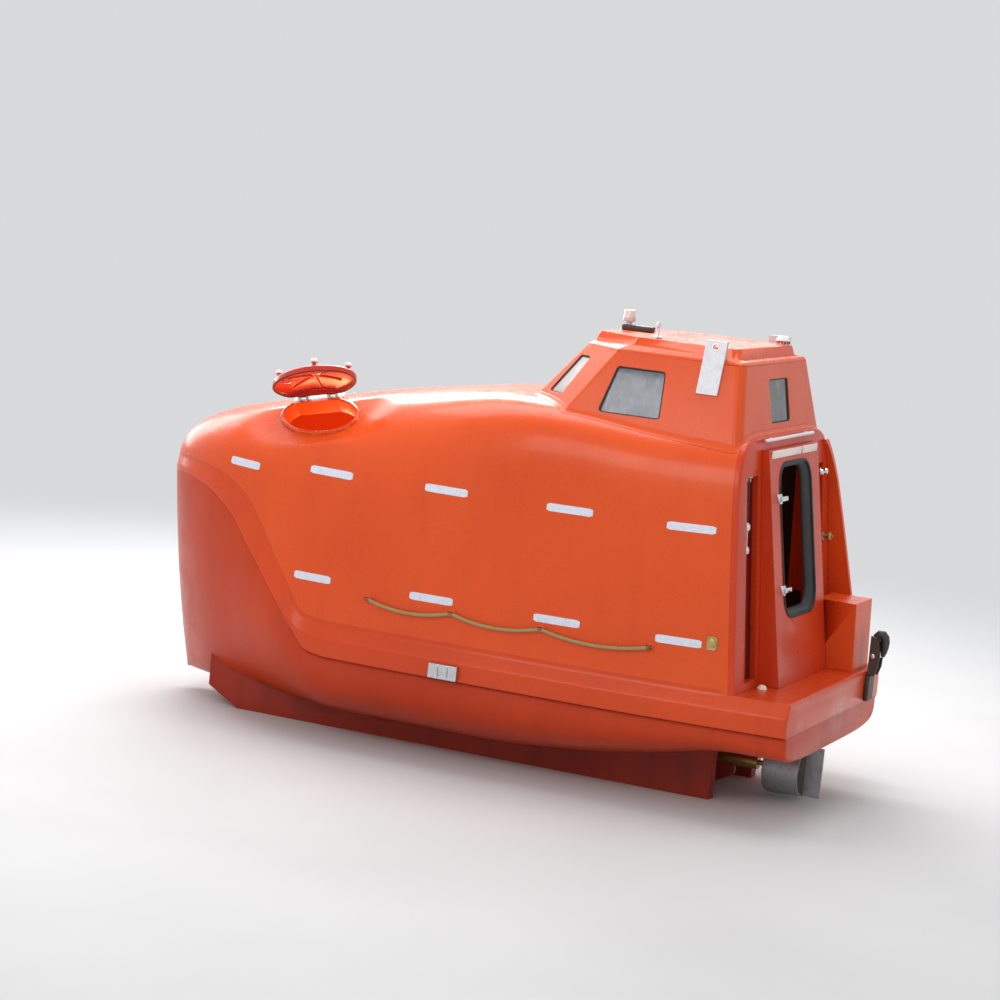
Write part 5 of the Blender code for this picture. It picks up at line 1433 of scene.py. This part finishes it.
# Hull fittings below: skin fittings and zinc blocks.
hull = surface("hull_shell")
INLET = [(0.045, 0.0), (0.045, 0.004), (0.036, 0.010), (0.012, 0.012), (0.0, 0.012)]
for side, label in SIDES:
    hits = [outward(hull, at(x, side * y, -2.0), Z) for x, y in ((1.0, 0.30), (2.6, 0.28))]
    turned_piece("skin_fitting_" + label, BRONZE, [(p + n * 0.0004, n) for p, n in hits], INLET, 28)
    bm = bmesh.new()
    for x in (0.35, 0.75):
        p, n = outward(hull, at(x, side * 0.22, -2.0), Z)
        t = X - n * n.x
        add_box(bm, p + n * 0.0125, (0.075, 0.028, 0.012), 0.006, (t, n.cross(t), n))
    finish_piece("zinc_" + label, bm, ZINC)

# Floor. It fades into the colour of the surroundings, so no horizon shows.
SURROUND = (0.93, 0.94, 0.955)
SURROUND_LIGHT = 0.74
floor = bmesh.new()
bmesh.ops.create_grid(floor, x_segments=1, y_segments=1, size=70.0)
me = bpy.data.meshes.new("floor")
floor.to_mesh(me)
floor.free()
ground = bpy.data.objects.new("floor", me)
ground.location = (0, 0, -0.0005)
bpy.context.scene.collection.objects.link(ground)
n = Nodes("studio_floor")
mottle = n.ramp(n.noise(0.6), 0.3, 0.7)
n.feed(n.bsdf.inputs["Base Color"], n.mix(mottle, (0.58, 0.58, 0.585), (0.62, 0.62, 0.625)))
n.feed(n.bsdf.inputs["Roughness"], 0.8)
n.feed(n.bsdf.inputs["Specular IOR Level"], 0.2)
away = n.add("VectorMath", {0: n.place}, "Value", operation="LENGTH")
fade = n.add("MapRange", {"Value": away, "From Min": 3.6, "From Max": 11.0}, "Result",
             interpolation_type="SMOOTHSTEP")
glow = n.add("Emission", {"Color": SURROUND, "Strength": SURROUND_LIGHT}, "Emission")
blend = n.add("MixShader", {0: fade, 1: n.bsdf.outputs["BSDF"], 2: glow}, "Shader")
n.feed(n.tree.nodes["Material Output"].inputs["Surface"], blend)
me.materials.append(n.mat)

world = bpy.data.worlds.new("studio")
bpy.context.scene.world = world
world.use_nodes = True
world.node_tree.nodes["Background"].inputs["Color"].default_value = SURROUND + (1.0,)
world.node_tree.nodes["Background"].inputs["Strength"].default_value = SURROUND_LIGHT


# Lights.
def put_lamp(name, kind, location, power, colour):
    """A lamp of one kind, and its data."""
    data = bpy.data.lights.new(name, kind)
    data.energy = power
    data.color = colour
    lamp = bpy.data.objects.new(name, data)
    lamp.location = location
    bpy.context.scene.collection.objects.link(lamp)
    return lamp, data


def area(name, location, target, size, power, colour=(1, 1, 1)):
    """A soft rectangular studio light aimed at a point."""
    lamp, data = put_lamp(name, "AREA", location, power, colour)
    data.shape = "RECTANGLE"
    data.size, data.size_y = size
    lamp.rotation_euler = (Vector(target) - Vector(location)).to_track_quat("-Z", "Y").to_euler()


area("overhead", (1.0, -0.6, 7.0), (0.8, 0.0, 1.0), (7.5, 3.4), 385)
area("key", (0.5, 9.5, 6.5), (0.0, 0.6, 1.2), (7.0, 3.0), 258, (1.0, 0.98, 0.95))
area("fill", (-9.0, 5.0, 4.5), (-1.5, 0.0, 1.2), (5.0, 5.0), 25)
area("bow_rim", (11.0, -6.0, 4.5), (0.8, 0.0, 1.5), (5.0, 5.0), 290)
area("sky_strip", (4.4, -9.0, 8.2), (0.3, 0.3, 2.0), (9.0, 3.2), 980)
area("bow_sky", (8.2, -7.2, 7.7), (1.6, 0.4, 1.8), (9.0, 4.0), 230)
put_lamp("inside", "POINT", (1.25, 0.30, 1.72), 34, (1.0, 0.50, 0.22))[1].shadow_soft_size = 0.25

# Camera, fitted to the photo.
yaw, pitch, roll = math.radians(23.18), math.radians(7.27), math.radians(5.71)
forward = Vector((math.sin(yaw), -math.cos(yaw), 0))
look = forward * math.cos(pitch) - Z * math.sin(pitch)
tall = Z * math.cos(pitch) + forward * math.sin(pitch)
right = forward.cross(Z)
wide_dir = right * math.cos(roll) + tall * math.sin(roll)
tall_dir = tall * math.cos(roll) - right * math.sin(roll)
data = bpy.data.cameras.new("camera")
data.lens = 102.36
data.sensor_width = 36
data.clip_end = 200
camera = bpy.data.objects.new("camera", data)
bpy.context.scene.collection.objects.link(camera)
turned = Matrix((wide_dir, tall_dir, -look)).transposed().to_4x4()
camera.matrix_world = Matrix.Translation((-7.338, 17.329, 4.036)) @ turned
bpy.context.scene.camera = camera
bpy.context.scene.view_settings.view_transform = "Standard"
